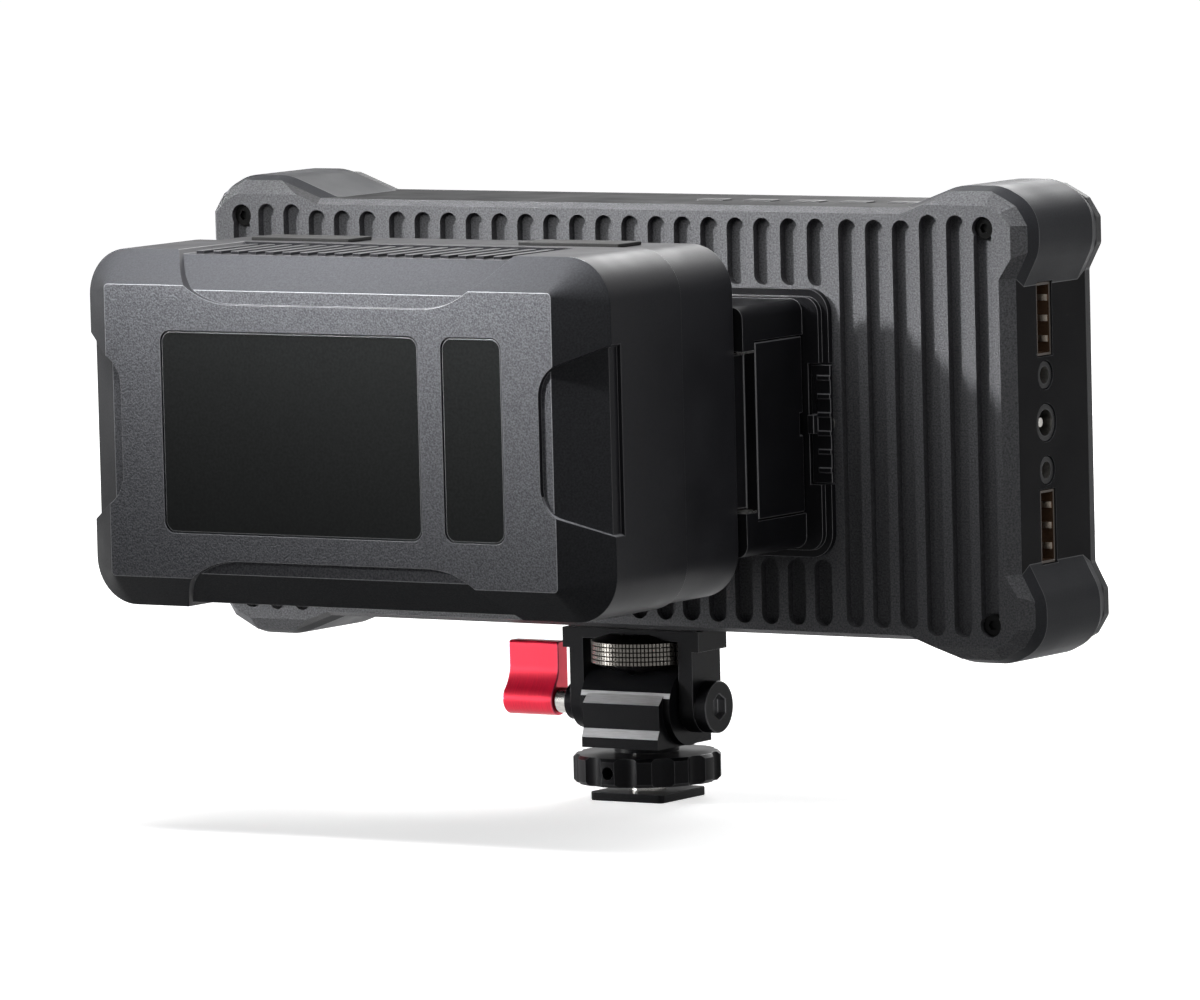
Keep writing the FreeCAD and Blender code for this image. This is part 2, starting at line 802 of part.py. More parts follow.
thumb_top = platform_top - S.platform_web - S.run_gap
thumb_low = thumb_top - S.thumb_thick
thumb_rod = rod("thumb_rod", "z", (0, 0, thumb_low), S.thumb_radius, S.thumb_thick)
thumb_eased = eased("Part::Chamfer", "thumb_eased", thumb_rod, S.thumb_edge,
                    lambda edge: edge.Curve.TypeId == "Part::GeomCircle")
thumb_bore = rod("thumb_bore", "z", (0, 0, thumb_low), S.screw_radius, S.thumb_thick)
node("thumb_wheel", cut("thumb_cut", thumb_eased, thumb_bore))
screw_top = casing_low + S.screw_bite
node("mount_screw", rod("mount_screw_rod", "z", (0, 0, thumb_low), S.screw_radius, screw_top - thumb_low))

# Threaded insert in the casing's floor

insert_rod = rod("insert_rod", "z", (0, 0, casing_low), S.insert_radius, S.insert_length)
insert_bore = rod("insert_bore", "z", (0, 0, casing_low), S.screw_radius + S.fit_gap, S.insert_length)
node("thread_insert", cut("insert_cut", insert_rod, insert_bore))

# Outlines of the casing and of the rear cover's outer face: one corner, then mirrored

bumper_x = half_w + S.bumper_side
bumper_z = half_h + S.bumper_rise
slope_start_x = half_w - S.bumper_reach_x
slope_end_x = slope_start_x + S.bumper_slope_x
slope_end_z = half_h - S.bumper_reach_z
slope_start_z = slope_end_z + S.bumper_slope_z
casing_corner = [
    (slope_start_x, half_h),
    (slope_end_x, bumper_z),
    (bumper_x - S.corner_cut_x, bumper_z),
    (bumper_x - S.corner_mid_x, bumper_z - S.corner_mid_z),
    (bumper_x, bumper_z - S.corner_cut_z),
    (bumper_x, slope_start_z),
    (half_w, slope_end_z),
]
crown_x = bumper_x + S.bumper_crown
crown_z = bumper_z + S.bumper_crown
crown_start_x = slope_start_x - S.bumper_slope_x * S.bumper_crown / S.bumper_rise
crowned_corner = [
    (crown_start_x, half_h),
    (slope_end_x, crown_z),
    (crown_x - S.corner_cut_x, crown_z),
    (crown_x - S.corner_mid_x, crown_z - S.corner_mid_z),
    (crown_x, crown_z - S.corner_cut_z),
    (crown_x, slope_start_z),
    (half_w, slope_end_z - S.bumper_slope_z * S.bumper_crown / S.bumper_side),
]
cover_corner = [
    (slope_start_x - S.cover_inset_z, half_h - S.cover_inset_z),
    (slope_end_x - S.cover_bump_inset * 2, bumper_z - S.cover_bump_inset),
    (bumper_x - S.corner_cut_x, bumper_z - S.cover_bump_inset),
    (bumper_x - S.corner_mid_x - S.cover_inset_x, bumper_z - S.corner_mid_z - S.cover_bump_inset / 2),
    (bumper_x - S.cover_inset_x, bumper_z - S.corner_cut_z),
    (bumper_x - S.cover_inset_x, slope_start_z - S.cover_inset_z),
    (half_w - S.cover_inset_x, slope_end_z),
]


def four_corners(corner):
    """The closed outline that one corner gives, about the monitor's centre."""
    upper_right = [(x, centre_z + z) for x, z in corner]
    lower_right = [(x, centre_z - z) for x, z in reversed(corner)]
    lower_left = [(-x, centre_z - z) for x, z in corner]
    upper_left = [(-x, centre_z + z) for x, z in reversed(corner)]
    return upper_right + lower_right + lower_left + upper_left


CORNERS = [(1, 1), (1, -1), (-1, -1), (-1, 1)]


def corner_places(x, z):
    return [(x * right, centre_z + z * up) for right, up in CORNERS]


cavity_x = half_w - S.casing_wall
cavity_z = half_h - S.casing_wall
cover_screws_at = corner_places(half_w - S.cover_screw_inset_x, half_h - S.cover_screw_inset_z)


def screw(name, x, z, seat, toward):
    """A small socket screw along Y: its head stands on the seat and its shank goes the other way."""
    head_low = seat if toward > 0 else seat - S.head_thick
    shank_low = seat - S.shank_length if toward > 0 else seat
    drive_low = seat + S.head_thick - S.drive_depth if toward > 0 else seat - S.head_thick
    head = rod(name + "_head", "y", (x, head_low, z), S.head_radius, S.head_thick)
    shank = rod(name + "_shank", "y", (x, shank_low, z), S.shank_radius, S.shank_length)
    drive = hexagon(name + "_drive", "y", (x, drive_low, z), S.drive_radius, S.drive_depth)
    return cut(name, join(name + "_join", head, shank), drive)


def screw_group(label, places, seat, toward):
    screws = [screw("%s_%d" % (label, i), x, z, seat, toward) for i, (x, z) in enumerate(places)]
    node(label, group(label + "_group", screws))


def shank_holes(name, places, low, length):
    return [rod("%s_%d" % (name, i), "y", (x, low, z), S.shank_radius, length)
            for i, (x, z) in enumerate(places)]


# Rear cover: the ribbed back plate, bevelled from the casing's outline to its own

cover_body = new_body("rear_cover_body")
cover_foot = sketch_on(cover_body, "XZ_Plane", casing_rear)
draw_outline(cover_foot, four_corners(casing_corner))
cover_face = sketch_on(cover_body, "XZ_Plane", back_y)
draw_outline(cover_face, four_corners(cover_corner))
loft(cover_body, [cover_foot, cover_face])
board_bosses = sketch_on(cover_body, "XZ_Plane", casing_rear)
boss_places = corner_places(cavity_x - S.board_boss_inset, S.board_boss_z)
for boss_x, boss_z in boss_places:
    draw_circle(board_bosses, boss_x, boss_z, S.board_boss_radius)
pad(cover_body, board_bosses, S.board_standoff)


def grooves(start, low, high, count):
    """A row of upright grooves, repeated towards +X from its first place."""
    profile = sketch_on(cover_body, "XZ_Plane", back_y)
    draw_slot(profile, start, centre_z + low, centre_z + high, S.groove_radius)
    feature = pocket(cover_body, profile, S.groove_depth, reverse=True)
    repeat(cover_body, feature, profile, groove_pitch, count)


corner_groove = half_w - S.cover_screw_inset_x
corner_end = half_h - S.cover_screw_inset_z
pitches_out = (SHORT_GROOVE_COUNT - 1) / 2 + 1 + LONG_GROOVE_COUNT + BUMP_GROOVE_COUNT
groove_pitch = (corner_groove - S.groove_step) / pitches_out
short_start = -groove_pitch * (SHORT_GROOVE_COUNT - 1) / 2
grooves(short_start, S.groove_short_end, S.groove_end, SHORT_GROOVE_COUNT)
grooves(short_start, -S.groove_end, -S.groove_short_end, SHORT_GROOVE_COUNT)
long_start = -short_start + groove_pitch + S.groove_step
bump_start = long_start + groove_pitch * LONG_GROOVE_COUNT
long_mirror = -long_start - groove_pitch * (LONG_GROOVE_COUNT - 1)
bump_mirror = -bump_start - groove_pitch * (BUMP_GROOVE_COUNT - 1)
for start in (long_start, long_mirror):
    grooves(start, -S.groove_end, S.groove_end, LONG_GROOVE_COUNT)
for start in (bump_start, bump_mirror):
    grooves(start, -S.groove_bump_end, S.groove_bump_end, BUMP_GROOVE_COUNT)
for place_x in (corner_groove, -corner_groove):
    corner_profile = sketch_on(cover_body, "XZ_Plane", back_y)
    draw_slot(corner_profile, place_x, centre_z - corner_end, centre_z + corner_end, S.groove_radius)
    pocket(cover_body, corner_profile, S.groove_depth, reverse=True)

cover_seat = back_y - S.cover_hole_depth
cover_holes = [rod("cover_hole_%d" % i, "y", (x, cover_seat, z), S.cover_hole_radius, S.cover_hole_depth)
               for i, (x, z) in enumerate(cover_screws_at)]
cover_holes += shank_holes("cover_shank", cover_screws_at, casing_rear, S.cover_thick)
board_rear = casing_rear - S.board_standoff
board_front = board_rear - S.board_thick
cover_holes += shank_holes("boss_hole", boss_places, board_rear, S.board_standoff)
plate_screw_x = S.pad_half_x - S.plate_screw_inset
rail_right = S.pad_half_x - S.rail_margin
plate_screws_at = [(x, centre_z + z) for x in (-plate_screw_x, plate_screw_x)
                   for z in (-S.plate_screw_z, S.plate_screw_z)]
cover_holes += shank_holes("plate_hole", plate_screws_at, casing_rear, S.cover_thick)
button_x = -(rail_right + S.button_gap)
button_mid_x = button_x - S.button_width / 2
spring_seat = back_y - S.spring_pocket
cover_holes.append(rod("spring_pocket", "y", (button_mid_x, spring_seat, centre_z),
                       S.spring_radius + S.spring_wire + S.slip_gap, S.spring_pocket))
node("rear_cover", cut("cover_cut", cover_body, *cover_holes))
screw_group("cover_screws", cover_screws_at, cover_seat, 1)

# Casing: the frame round the monitor, with crowned bumpers at its corners and screw blocks inside

notch_x = cavity_x - S.corner_block_x
notch_z = cavity_z - S.corner_block_z
casing_body = new_body("casing_body")
casing_sections = []
for at, corner in (
    (casing_front, casing_corner),
    (casing_front + S.crown_depth, crowned_corner),
    (casing_rear - S.crown_depth, crowned_corner),
    (casing_rear, casing_corner),
):
    section = sketch_on(casing_body, "XZ_Plane", at)
    draw_outline(section, four_corners(corner))
    casing_sections.append(section)
loft(casing_body, casing_sections)
cavity_outline = sketch_on(casing_body, "XZ_Plane", casing_front)
draw_outline(cavity_outline, four_corners([(notch_x, cavity_z), (notch_x, notch_z), (cavity_x, notch_z)]))
pocket(casing_body, cavity_outline, casing_rear - casing_front)
panel_rear = casing_front + S.panel_thick
backlight_rear = panel_rear + S.backlight_thick
carrier_rear = backlight_rear + S.carrier_thick
front_outline = sketch_on(casing_body, "XZ_Plane", casing_front)
draw_outline(front_outline, [(-cavity_x, centre_z - cavity_z), (cavity_x, centre_z - cavity_z),
                             (cavity_x, centre_z + cavity_z), (-cavity_x, centre_z + cavity_z)])
pocket(casing_body, front_outline, carrier_rear - casing_front)

boss_half = S.insert_boss_half
insert_boss = block("insert_boss", (-boss_half, boss_half), (-boss_half, boss_half),
                    (casing_low + S.casing_wall / 2, casing_low + S.insert_boss_height))
casing_solid = join("casing_solid", casing_body, insert_boss)
insert_hole = rod("insert_hole", "z", (0, 0, casing_low), S.insert_radius, S.insert_length)

port_y = board_front - S.video_height / 2
wall_x = -half_w
port_face = wall_x + S.port_sink
video_places = {
    "video_in_socket": centre_z + S.port_pitch_video,
    "video_out_socket": centre_z - S.port_pitch_video,
}
jack_places = {"headphone_jack": centre_z + S.port_pitch_jack, "service_jack": centre_z - S.port_pitch_jack}
half_video_z = S.video_length / 2
half_video_y = S.video_height / 2
port_holes = []
hole_start = -crown_x
hole_length = wall_x + S.casing_wall - hole_start
for label, port_z in video_places.items():
    port_holes.append(block("hole_" + label, (hole_start, wall_x + S.casing_wall),
                            (port_y - half_video_y - S.slip_gap, port_y + half_video_y + S.slip_gap),
                            (port_z - half_video_z - S.slip_gap, port_z + half_video_z + S.slip_gap)))
for label, port_z in jack_places.items():
    port_holes.append(rod("hole_" + label, "x", (hole_start, port_y, port_z), S.jack_nose_radius + S.slip_gap,
                          hole_length))
port_holes.append(rod("hole_dc_jack", "x", (hole_start, port_y, centre_z), S.dc_nose_radius + S.slip_gap,
                      hole_length))

KEYS = ["power_key", "source_key", "menu_key", "minus_key", "plus_key"]
half_key_x = S.key_width / 2
first_key = crown_start_x - S.key_margin - half_key_x
key_places = [-first_key + S.key_pitch * i for i in range(len(KEYS))]
half_key_y = S.key_depth / 2
key_mid_y = -S.key_y
casing_top = centre_z + half_h
ceiling = casing_top - S.casing_wall
key_holes = []
for i, key_x in enumerate(key_places):
    key_holes.append(block("key_hole_%d" % i,
                           (key_x - half_key_x - S.run_gap, key_x + half_key_x + S.run_gap),
                           (key_mid_y - half_key_y - S.run_gap, key_mid_y + half_key_y + S.run_gap),
                           (ceiling, casing_top)))
carrier_screws_at = corner_places(notch_x + S.corner_block_x / 2, notch_z + S.corner_block_z / 2)
casing_cuts = [insert_hole] + port_holes + key_holes
casing_cuts += shank_holes("casing_shank", cover_screws_at, cover_seat - S.shank_length,
                           S.shank_length - S.cover_thick + S.cover_hole_depth)
casing_cuts += shank_holes("carrier_shank", carrier_screws_at, carrier_rear, S.shank_length)
node("casing", cut("casing_cut", casing_solid, *casing_cuts))

# Front bezel: the frame round the screen

half_window_x = half_w - S.bezel_side
half_window_z = half_h - S.bezel_rail
half_glass_x = half_window_x + S.glass_border
half_glass_z = half_window_z + S.glass_border / 2
glass_front = bezel_front + S.glass_sink
bezel_body = new_body("front_bezel_body")
bezel_outline = sketch_on(bezel_body, "XZ_Plane", bezel_front)
draw_outline(bezel_outline, four_corners(casing_corner))
pad(bezel_body, bezel_outline, S.bezel_thick, reverse=True)
chamfer(bezel_body, S.bezel_edge,
        lambda edge: near(edge.BoundBox.YMin, bezel_front) and near(edge.BoundBox.YMax, bezel_front))


def centred(half_x, half_z):
    return [(-half_x, centre_z - half_z), (half_x, centre_z - half_z),
            (half_x, centre_z + half_z), (-half_x, centre_z + half_z)]


window_outline = sketch_on(bezel_body, "XZ_Plane", bezel_front)
draw_outline(window_outline, centred(half_window_x, half_window_z))
pocket(bezel_body, window_outline, S.bezel_thick)
glass_outline = sketch_on(bezel_body, "XZ_Plane", bezel_front)
draw_outline(glass_outline, centred(half_glass_x + S.slip_gap, half_glass_z + S.slip_gap))
pocket(bezel_body, glass_outline, S.glass_sink + S.glass_thick)
node("front_bezel", bezel_body)


def slab(label, half_x, half_z, low, high):
    """A flat upright sheet about the monitor's centre."""
    sheet_piece = block(label + "_slab", (-half_x, half_x), (low, high), (centre_z - half_z, centre_z + half_z))
    return node(label, sheet_piece)


# Screen glass, display panel, backlight and the plate that carries them

slab("screen_glass", half_glass_x, half_glass_z, glass_front, glass_front + S.glass_thick)
half_panel_x = half_window_x + S.panel_border
half_panel_z = half_window_z + S.panel_border
slab("display_panel", half_panel_x, half_panel_z, casing_front, panel_rear)
slab("backlight", half_panel_x, half_panel_z, panel_rear, backlight_rear)
half_carrier_x = cavity_x - S.slip_gap
half_carrier_z = cavity_z - S.slip_gap
carrier_slab = block("carrier_slab", (-half_carrier_x, half_carrier_x), (backlight_rear, carrier_rear),
                     (centre_z - half_carrier_z, centre_z + half_carrier_z))
carrier_holes = shank_holes("carrier_hole", carrier_screws_at, backlight_rear, S.carrier_thick)
node("panel_carrier", cut("carrier_cut", carrier_slab, *carrier_holes))
screw_group("carrier_screws", carrier_screws_at, backlight_rear, -1)

# Main board on the cover's bosses, with its chips

board_right = -cavity_x + S.run_gap
board_slab = block("board_slab", (board_right, cavity_x - S.board_short), (board_front, board_rear),
                   (centre_z - S.board_low, centre_z + S.board_high))
board_holes = shank_holes("board_hole", boss_places, board_front, S.board_thick)
node("main_board", cut("board_cut", board_slab, *board_holes))
screw_group("board_screws", boss_places, board_front, -1)
half_chip = S.chip_size / 2
chips = [block("chip_%d" % i, (x - half_chip, x + half_chip), (board_front - S.chip_thick, board_front),
               (centre_z - half_chip, centre_z + half_chip))
         for i, x in enumerate((-S.chip_size * 2, ZERO, S.chip_size * 2))]
node("board_chips", group("chips", chips))

# Video sockets: a shell soldered to the board, with a contact tongue set back from its mouth

for label, port_z in video_places.items():
    shell = block(label + "_shell", (port_face, port_face + S.video_deep),
                  (port_y - half_video_y, port_y + half_video_y),
                  (port_z - half_video_z, port_z + half_video_z))
    throat_y = half_video_y - S.video_wall
    throat_z = half_video_z - S.video_wall
    throat = block(label + "_throat", (port_face, port_face + S.video_throat),
                   (port_y - throat_y, port_y + throat_y), (port_z - throat_z, port_z + throat_z))
    tongue_z = half_video_z - S.tongue_border
    tongue = block(label + "_tongue", (port_face + S.tongue_recess, port_face + S.video_throat),
                   (port_y - S.tongue_thick / 2, port_y + S.tongue_thick / 2),
                   (port_z - tongue_z, port_z + tongue_z))
    node(label, join(label + "_join", cut(label + "_hollow", shell, throat), tongue))

# Round jacks: a nose in the wall on a body on the board


def jack(label, port_z, nose_radius, bore_radius, body_size):
    body_start = wall_x + S.casing_wall + S.run_gap
    nose = rod(label + "_nose", "x", (port_face, port_y, port_z), nose_radius, body_start - port_face)
    half = body_size / 2
    body = block(label + "_body", (body_start, port_face + S.jack_deep), (port_y - half, board_front),
                 (port_z - half, port_z + half))
    bore = rod(label + "_bore", "x", (port_face, port_y, port_z), bore_radius, S.jack_bore_deep)
    return cut(label + "_cut", join(label + "_join", nose, body), bore)


for label, port_z in jack_places.items():
    node(label, jack(label, port_z, S.jack_nose_radius, S.jack_bore_radius, S.jack_body))
dc_hollow = jack("dc_jack", centre_z, S.dc_nose_radius, S.dc_bore_radius, S.dc_body)
dc_pin = rod("dc_pin", "x", (port_face + S.dc_pin_sink, port_y, centre_z), S.dc_pin_radius, S.jack_bore_deep)
node("dc_jack", join("dc_join", dc_hollow, dc_pin))

# Keys on the top edge: each a cap through the wall with a flange under it, over its switch

flange_top = ceiling - S.run_gap
flange_low = flange_top - S.key_flange_thick
switch_top = flange_low - S.key_travel - S.run_gap
key_board_low = centre_z + S.board_high
key_board_top = key_board_low + S.board_thick
switches = []
for i, (label, key_x) in enumerate(zip(KEYS, key_places)):
    cap = block(label + "_cap", (key_x - half_key_x, key_x + half_key_x),
                (key_mid_y - half_key_y, key_mid_y + half_key_y), (flange_low, casing_top + S.key_proud))
    flange = block(label + "_flange", (key_x - half_key_x - S.key_flange, key_x + half_key_x + S.key_flange),
                   (key_mid_y - half_key_y - S.key_flange, key_mid_y + half_key_y + S.key_flange),
                   (flange_low, flange_top))
    node(label, join(label + "_join", cap, flange))
    switches.append(block("switch_%d" % i, (key_x - S.switch_half, key_x + S.switch_half),
                          (key_mid_y - S.switch_half, key_mid_y + S.switch_half), (key_board_top, switch_top)))
node("key_switches", group("switch_group", switches))
key_board_half = S.key_board_depth / 2
node("key_board", block("key_board_slab",
                        (key_places[0] - S.key_board_border, key_places[-1] + S.key_board_border),
                        (key_mid_y - key_board_half, board_rear), (key_board_low, key_board_top)))

# Battery plate: a stepped pad on the rear cover with two lipped rails and an end stop

plate_body = new_body("battery_plate_body")
plate_outer = sketch_on(plate_body, "XZ_Plane", back_y)
draw_rounded(plate_outer, (-S.pad_half_x, S.pad_half_x), (centre_z - S.pad_half_z, centre_z + S.pad_half_z),
             S.pad_corner)
pad(plate_body, plate_outer, S.pad_step_thick, reverse=True)
plate_inner = sketch_on(plate_body, "XZ_Plane", back_y)
inner_x = S.pad_half_x - S.pad_step
inner_z = S.pad_half_z - S.pad_step
draw_rounded(plate_inner, (-inner_x, inner_x), (centre_z - inner_z, centre_z + inner_z),
             S.pad_corner - S.pad_step)
pad(plate_body, plate_inner, S.pad_thick, reverse=True)
rail_in = S.foot_half + S.run_gap
rail_out = rail_in + S.rail_thick
lip_low = rail_end - S.rail_lip_depth
for up in (1, -1):
    rail_outline = sketch_on(plate_body, "YZ_Plane", -rail_right)
    draw_outline(rail_outline, [
        (pad_top, centre_z + rail_in * up),
        (lip_low, centre_z + rail_in * up),
        (lip_low, centre_z + (rail_in - S.rail_lip) * up),
        (rail_end, centre_z + (rail_in - S.rail_lip) * up),
        (rail_end, centre_z + rail_out * up),
        (pad_top, centre_z + rail_out * up),
    ])
    pad(plate_body, rail_outline, rail_right + S.rail_left)


def is_rail_corner(edge):
    """The outer edge at each rail's open end, along Y."""
    middle = edge.BoundBox.Center
    along_y = span(edge)[1] > S.rail_depth.number / 2
    return along_y and near(middle.x, -rail_right) and near(abs(middle.z - centre_z.number), rail_out)


doc.recompute()
rails = plate_body.Tip
rail_edges = ["Edge%d" % i for i, edge in enumerate(rails.Shape.Edges, start=1) if is_rail_corner(edge)]
rail_fillet = plate_body.newObject("PartDesign::Fillet", "rail_fillet")
rail_fillet.Base = (rails, rail_edges)
bind(rail_fillet, "Radius", S.rail_round)
stop_end = S.rail_left + S.rail_stop_thick
stop = block("plate_stop", (S.rail_left, stop_end), (pad_top, rail_end),
             (centre_z - rail_out, centre_z + rail_out))
half_button = S.button_length / 2
notch = block("button_notch", (-S.pad_half_x, button_x + S.run_gap), (back_y, pad_top),
              (centre_z - half_button - S.run_gap, centre_z + half_button + S.run_gap))
plate_seat = pad_top - S.head_thick - S.slip_gap
plate_cuts = [rod("plate_head_%d" % i, "y", (x, plate_seat, z), S.head_radius + S.slip_gap, S.pad_thick)
              for i, (x, z) in enumerate(plate_screws_at)]
plate_cuts += shank_holes("plate_shank", plate_screws_at, back_y, S.pad_thick)


def clip_blocks(name):
    """One thin block in each rail's lip, at the rails' open end."""
    pieces = []
    for side, up in (("upper", 1), ("lower", -1)):
        edge_z = centre_z + (rail_in - S.rail_lip) * up
        inner_edge = edge_z + S.clip_thick * up
        low, high = (edge_z, inner_edge) if up > 0 else (inner_edge, edge_z)
        pieces.append(block(name + side, (-rail_right, -rail_right + S.clip_length), (lip_low, rail_end),
                            (low, high)))
    return pieces


plate_cuts += clip_blocks("clip_slot_")
plate_join = join("plate_join", plate_body, stop)
node("battery_plate", cut("plate_cut", plate_join, notch, *plate_cuts))
screw_group("plate_screws", plate_screws_at, plate_seat, 1)

# Spring-steel guide clips let into the rails' lips at the open end

node("guide_clips", group("clip_group", clip_blocks("clip_")))

# Plate contacts: blades on the end stop that enter the battery's foot

foot_right = -rail_right
foot_left = S.rail_left - S.run_gap
slot_half = S.contact_thick / 2 + S.run_gap
contact_places = [S.contact_pitch * (i - (CONTACTS - 1) / 2) for i in range(CONTACTS)]
contact_mid_y = pad_top + S.rail_depth / 2 - S.rail_lip_depth / 2
half_wide = S.foot_slot_wide / 2
blades = []
for i, offset in enumerate(contact_places):
    blades.append(block("blade_%d" % i, (foot_left - S.contact_reach, S.rail_left),
                        (contact_mid_y - half_wide + S.run_gap, contact_mid_y + half_wide - S.run_gap),
                        (centre_z + offset - S.contact_thick / 2, centre_z + offset + S.contact_thick / 2)))
node("plate_contacts", group("blade_group", blades))

# Release button in the pad's edge: a ribbed plate with a tooth beside the battery's foot

button_low = back_y + S.run_gap + S.button_travel
button_top = button_low + S.button_thick
button_plate = block("button_plate", (button_x - S.button_width, button_x), (button_low, button_top),
                     (centre_z - half_button, centre_z + half_button))
tooth = block("button_tooth", (button_x - S.tooth_thick, button_x), (button_low, pad_top + S.tooth_rise),
              (centre_z - S.tooth_width / 2, centre_z + S.tooth_width / 2))
ribs = []
button_edge = button_x - S.button_width
for i in range(BUTTON_RIBS):
    rib_z = centre_z + S.button_rib_pitch * (i - (BUTTON_RIBS - 1) / 2)
    ribs.append(block("button_rib_%d" % i, (button_edge, button_edge + S.button_rib_length),
                      (button_low, button_top + S.button_rib_height),
                      (rib_z - S.button_rib_width / 2, rib_z + S.button_rib_width / 2)))
node("release_button", join("button_join", button_plate, tooth, *ribs))

# Return spring under the button

spring_body = new_body("release_spring_body")
spring_profile = sketch_on(spring_body, "YZ_Plane", button_mid_x)
bind(spring_profile, "AttachmentOffset.Base.y", centre_z)
draw_circle(spring_profile, spring_seat + S.spring_wire, S.spring_radius, S.spring_wire)
coil = spring_body.newObject("PartDesign::AdditiveHelix", "spring_coil")
coil.Profile = spring_profile
coil.ReferenceAxis = (spring_profile, ["H_Axis"])
coil.Mode = "height-turns-angle"
bind(coil, "Height", button_low - spring_seat - S.spring_wire * 2)
coil.Turns = SPRING_TURNS
node("release_spring", spring_body)

# Battery shells: the outline grows a bevelled nose at the front, and the front shell has a shallow
# recess in the middle of each edge


def pack_limits(half_x, half_z):
    return (pack_x - half_x, pack_x + half_x), (pack_z - half_z, pack_z + half_z)


half_tray = S.cell_pitch * CELL_COLUMNS / 2
cell_end = S.cell_length / 2
tray_out = cell_end + S.tray_floor
half_pack_x = half_tray + S.tray_side_room + S.pack_wall
half_pack_z = tray_out + S.tray_end_room + S.pack_wall


def nose_body(name, inset):
    """The front shell's outer form, drawn in by an inset."""
    body = new_body(name)
    sections = []
    outer_x = half_pack_x - inset
    outer_z = half_pack_z - inset
    for at, half_x, half_z, radius in (
        (pack_parting, outer_x, outer_z, S.pack_corner),
        (pack_shoulder - inset / 2, outer_x, outer_z, S.pack_corner),
        (pack_face - inset, outer_x - S.pack_bevel_x, outer_z - S.pack_bevel_z, S.pack_nose_corner),
    ):
        section = sketch_on(body, "XZ_Plane", at)
        draw_rounded(section, *pack_limits(half_x, half_z), radius)
        sections.append(section)
    loft(body, sections)
    return body


def recess_tool(name, back, outline, rounding, on_inner_line):
    """A prism that cuts one edge recess through the front shell's outer form, rounded at its inner corners."""
    body = new_body(name)
    profile = sketch_on(body, "XZ_Plane", pack_shoulder - back)
    draw_outline(profile, outline)
    pad(body, profile, back + S.pack_nose_depth * 2, reverse=True)
    return eased("Part::Fillet", name + "_rounded", body, rounding,
                 lambda edge: span(edge)[1] > S.pack_nose_depth.number and on_inner_line(edge.CenterOfMass))


nose_outer = nose_body("pack_outer", ZERO)
nose_core = nose_body("pack_core", S.recess_depth)
nose_half_x = half_pack_x - S.pack_bevel_x
nose_half_z = half_pack_z - S.pack_bevel_z
recess_tools = []
for name, up in (("top_recess", 1), ("bottom_recess", -1)):
    inner = pack_z + (nose_half_z - S.top_recess_bite) * up
    outer = pack_z + (half_pack_z + S.recess_depth) * up
    recess_tools.append(recess_tool(name, S.top_recess_back, [
        (pack_x - S.top_recess_half, inner), (pack_x + S.top_recess_half, inner),
        (pack_x + S.top_recess_half + S.top_recess_flare, outer),
        (pack_x - S.top_recess_half - S.top_recess_flare, outer),
    ], S.top_recess_round, lambda middle: near(middle.z, inner)))
for name, side in (("left_recess", 1), ("right_recess", -1)):
    inner = pack_x + (nose_half_x - S.side_recess_bite) * side
    outer = pack_x + (half_pack_x + S.recess_depth) * side
    recess_tools.append(recess_tool(name, S.side_recess_back, [
        (inner, pack_z - S.side_recess_half), (inner, pack_z + S.side_recess_half),
        (outer, pack_z + S.side_recess_half + S.side_recess_flare),
        (outer, pack_z - S.side_recess_half - S.side_recess_flare),
    ], S.side_recess_round, lambda middle: near(middle.x, inner)))
pack_skin = join("pack_skin", cut("pack_scalloped", nose_outer, *recess_tools), nose_core)

grips = []
grip_top = pack_z + half_pack_z - S.recess_depth + S.grip_height
for i in range(GRIPS):
    grip_x = pack_x + S.grip_pitch * (i - (GRIPS - 1) / 2)
    grips.append(block("grip_%d" % i, (grip_x - S.grip_width / 2, grip_x + S.grip_width / 2),
                       (pack_shoulder - S.grip_length, pack_shoulder - S.recess_depth),
                       (pack_z + half_pack_z - S.recess_depth * 2, grip_top)))

inside_x = half_pack_x - S.pack_wall
inside_z = half_pack_z - S.pack_wall
tray_low_y = pack_rear + S.pack_wall
cells_deep = S.cell_pitch * CELL_ROWS
pack_front_in = tray_low_y + cells_deep + S.pack_board_thick + S.slip_gap * 2
front_cavity = block("front_cavity", (pack_x - inside_x, pack_x + inside_x), (pack_parting, pack_front_in),
                     (pack_z - inside_z, pack_z + inside_z))
nose_in_x = nose_half_x - S.side_recess_bite - S.nose_wall
nose_in_z = nose_half_z - S.top_recess_bite - S.nose_wall
nose_cavity = block("nose_cavity", (pack_x - nose_in_x, pack_x + nose_in_x),
                    (pack_front_in, pack_face - S.nose_wall), (pack_z - nose_in_z, pack_z + nose_in_z))
boss_x = inside_x - S.pack_boss_inset
boss_z = inside_z - S.pack_boss_inset
pack_screws_at = [(pack_x + boss_x * right, pack_z + boss_z * up) for right, up in CORNERS]
front_bosses = [rod("front_boss_%d" % i, "y", (x, pack_parting, z), S.pack_boss_radius,
                    pack_front_in - pack_parting + S.recess_depth)
                for i, (x, z) in enumerate(pack_screws_at)]


def label_at(offset, width):
    """The limits of a label window on the battery's face."""
    middle = pack_x + offset
    half = width / 2
    return (middle - half, middle + half), (pack_z - S.label_height / 2, pack_z + S.label_height / 2)


label_large = label_at(S.label_large_x - S.pack_shift_x, S.label_large_width)
label_narrow = label_at(-S.label_narrow_x - S.pack_shift_x, S.label_narrow_width)


def label_body(name, limits, at, depth, gap):
    body = new_body(name)
    (left, right), (low, high) = limits
    profile = sketch_on(body, "XZ_Plane", at)
    draw_rounded(profile, (left + gap, right - gap), (low + gap, high - gap), S.label_corner)
    pad(body, profile, depth, reverse=True)
    return body


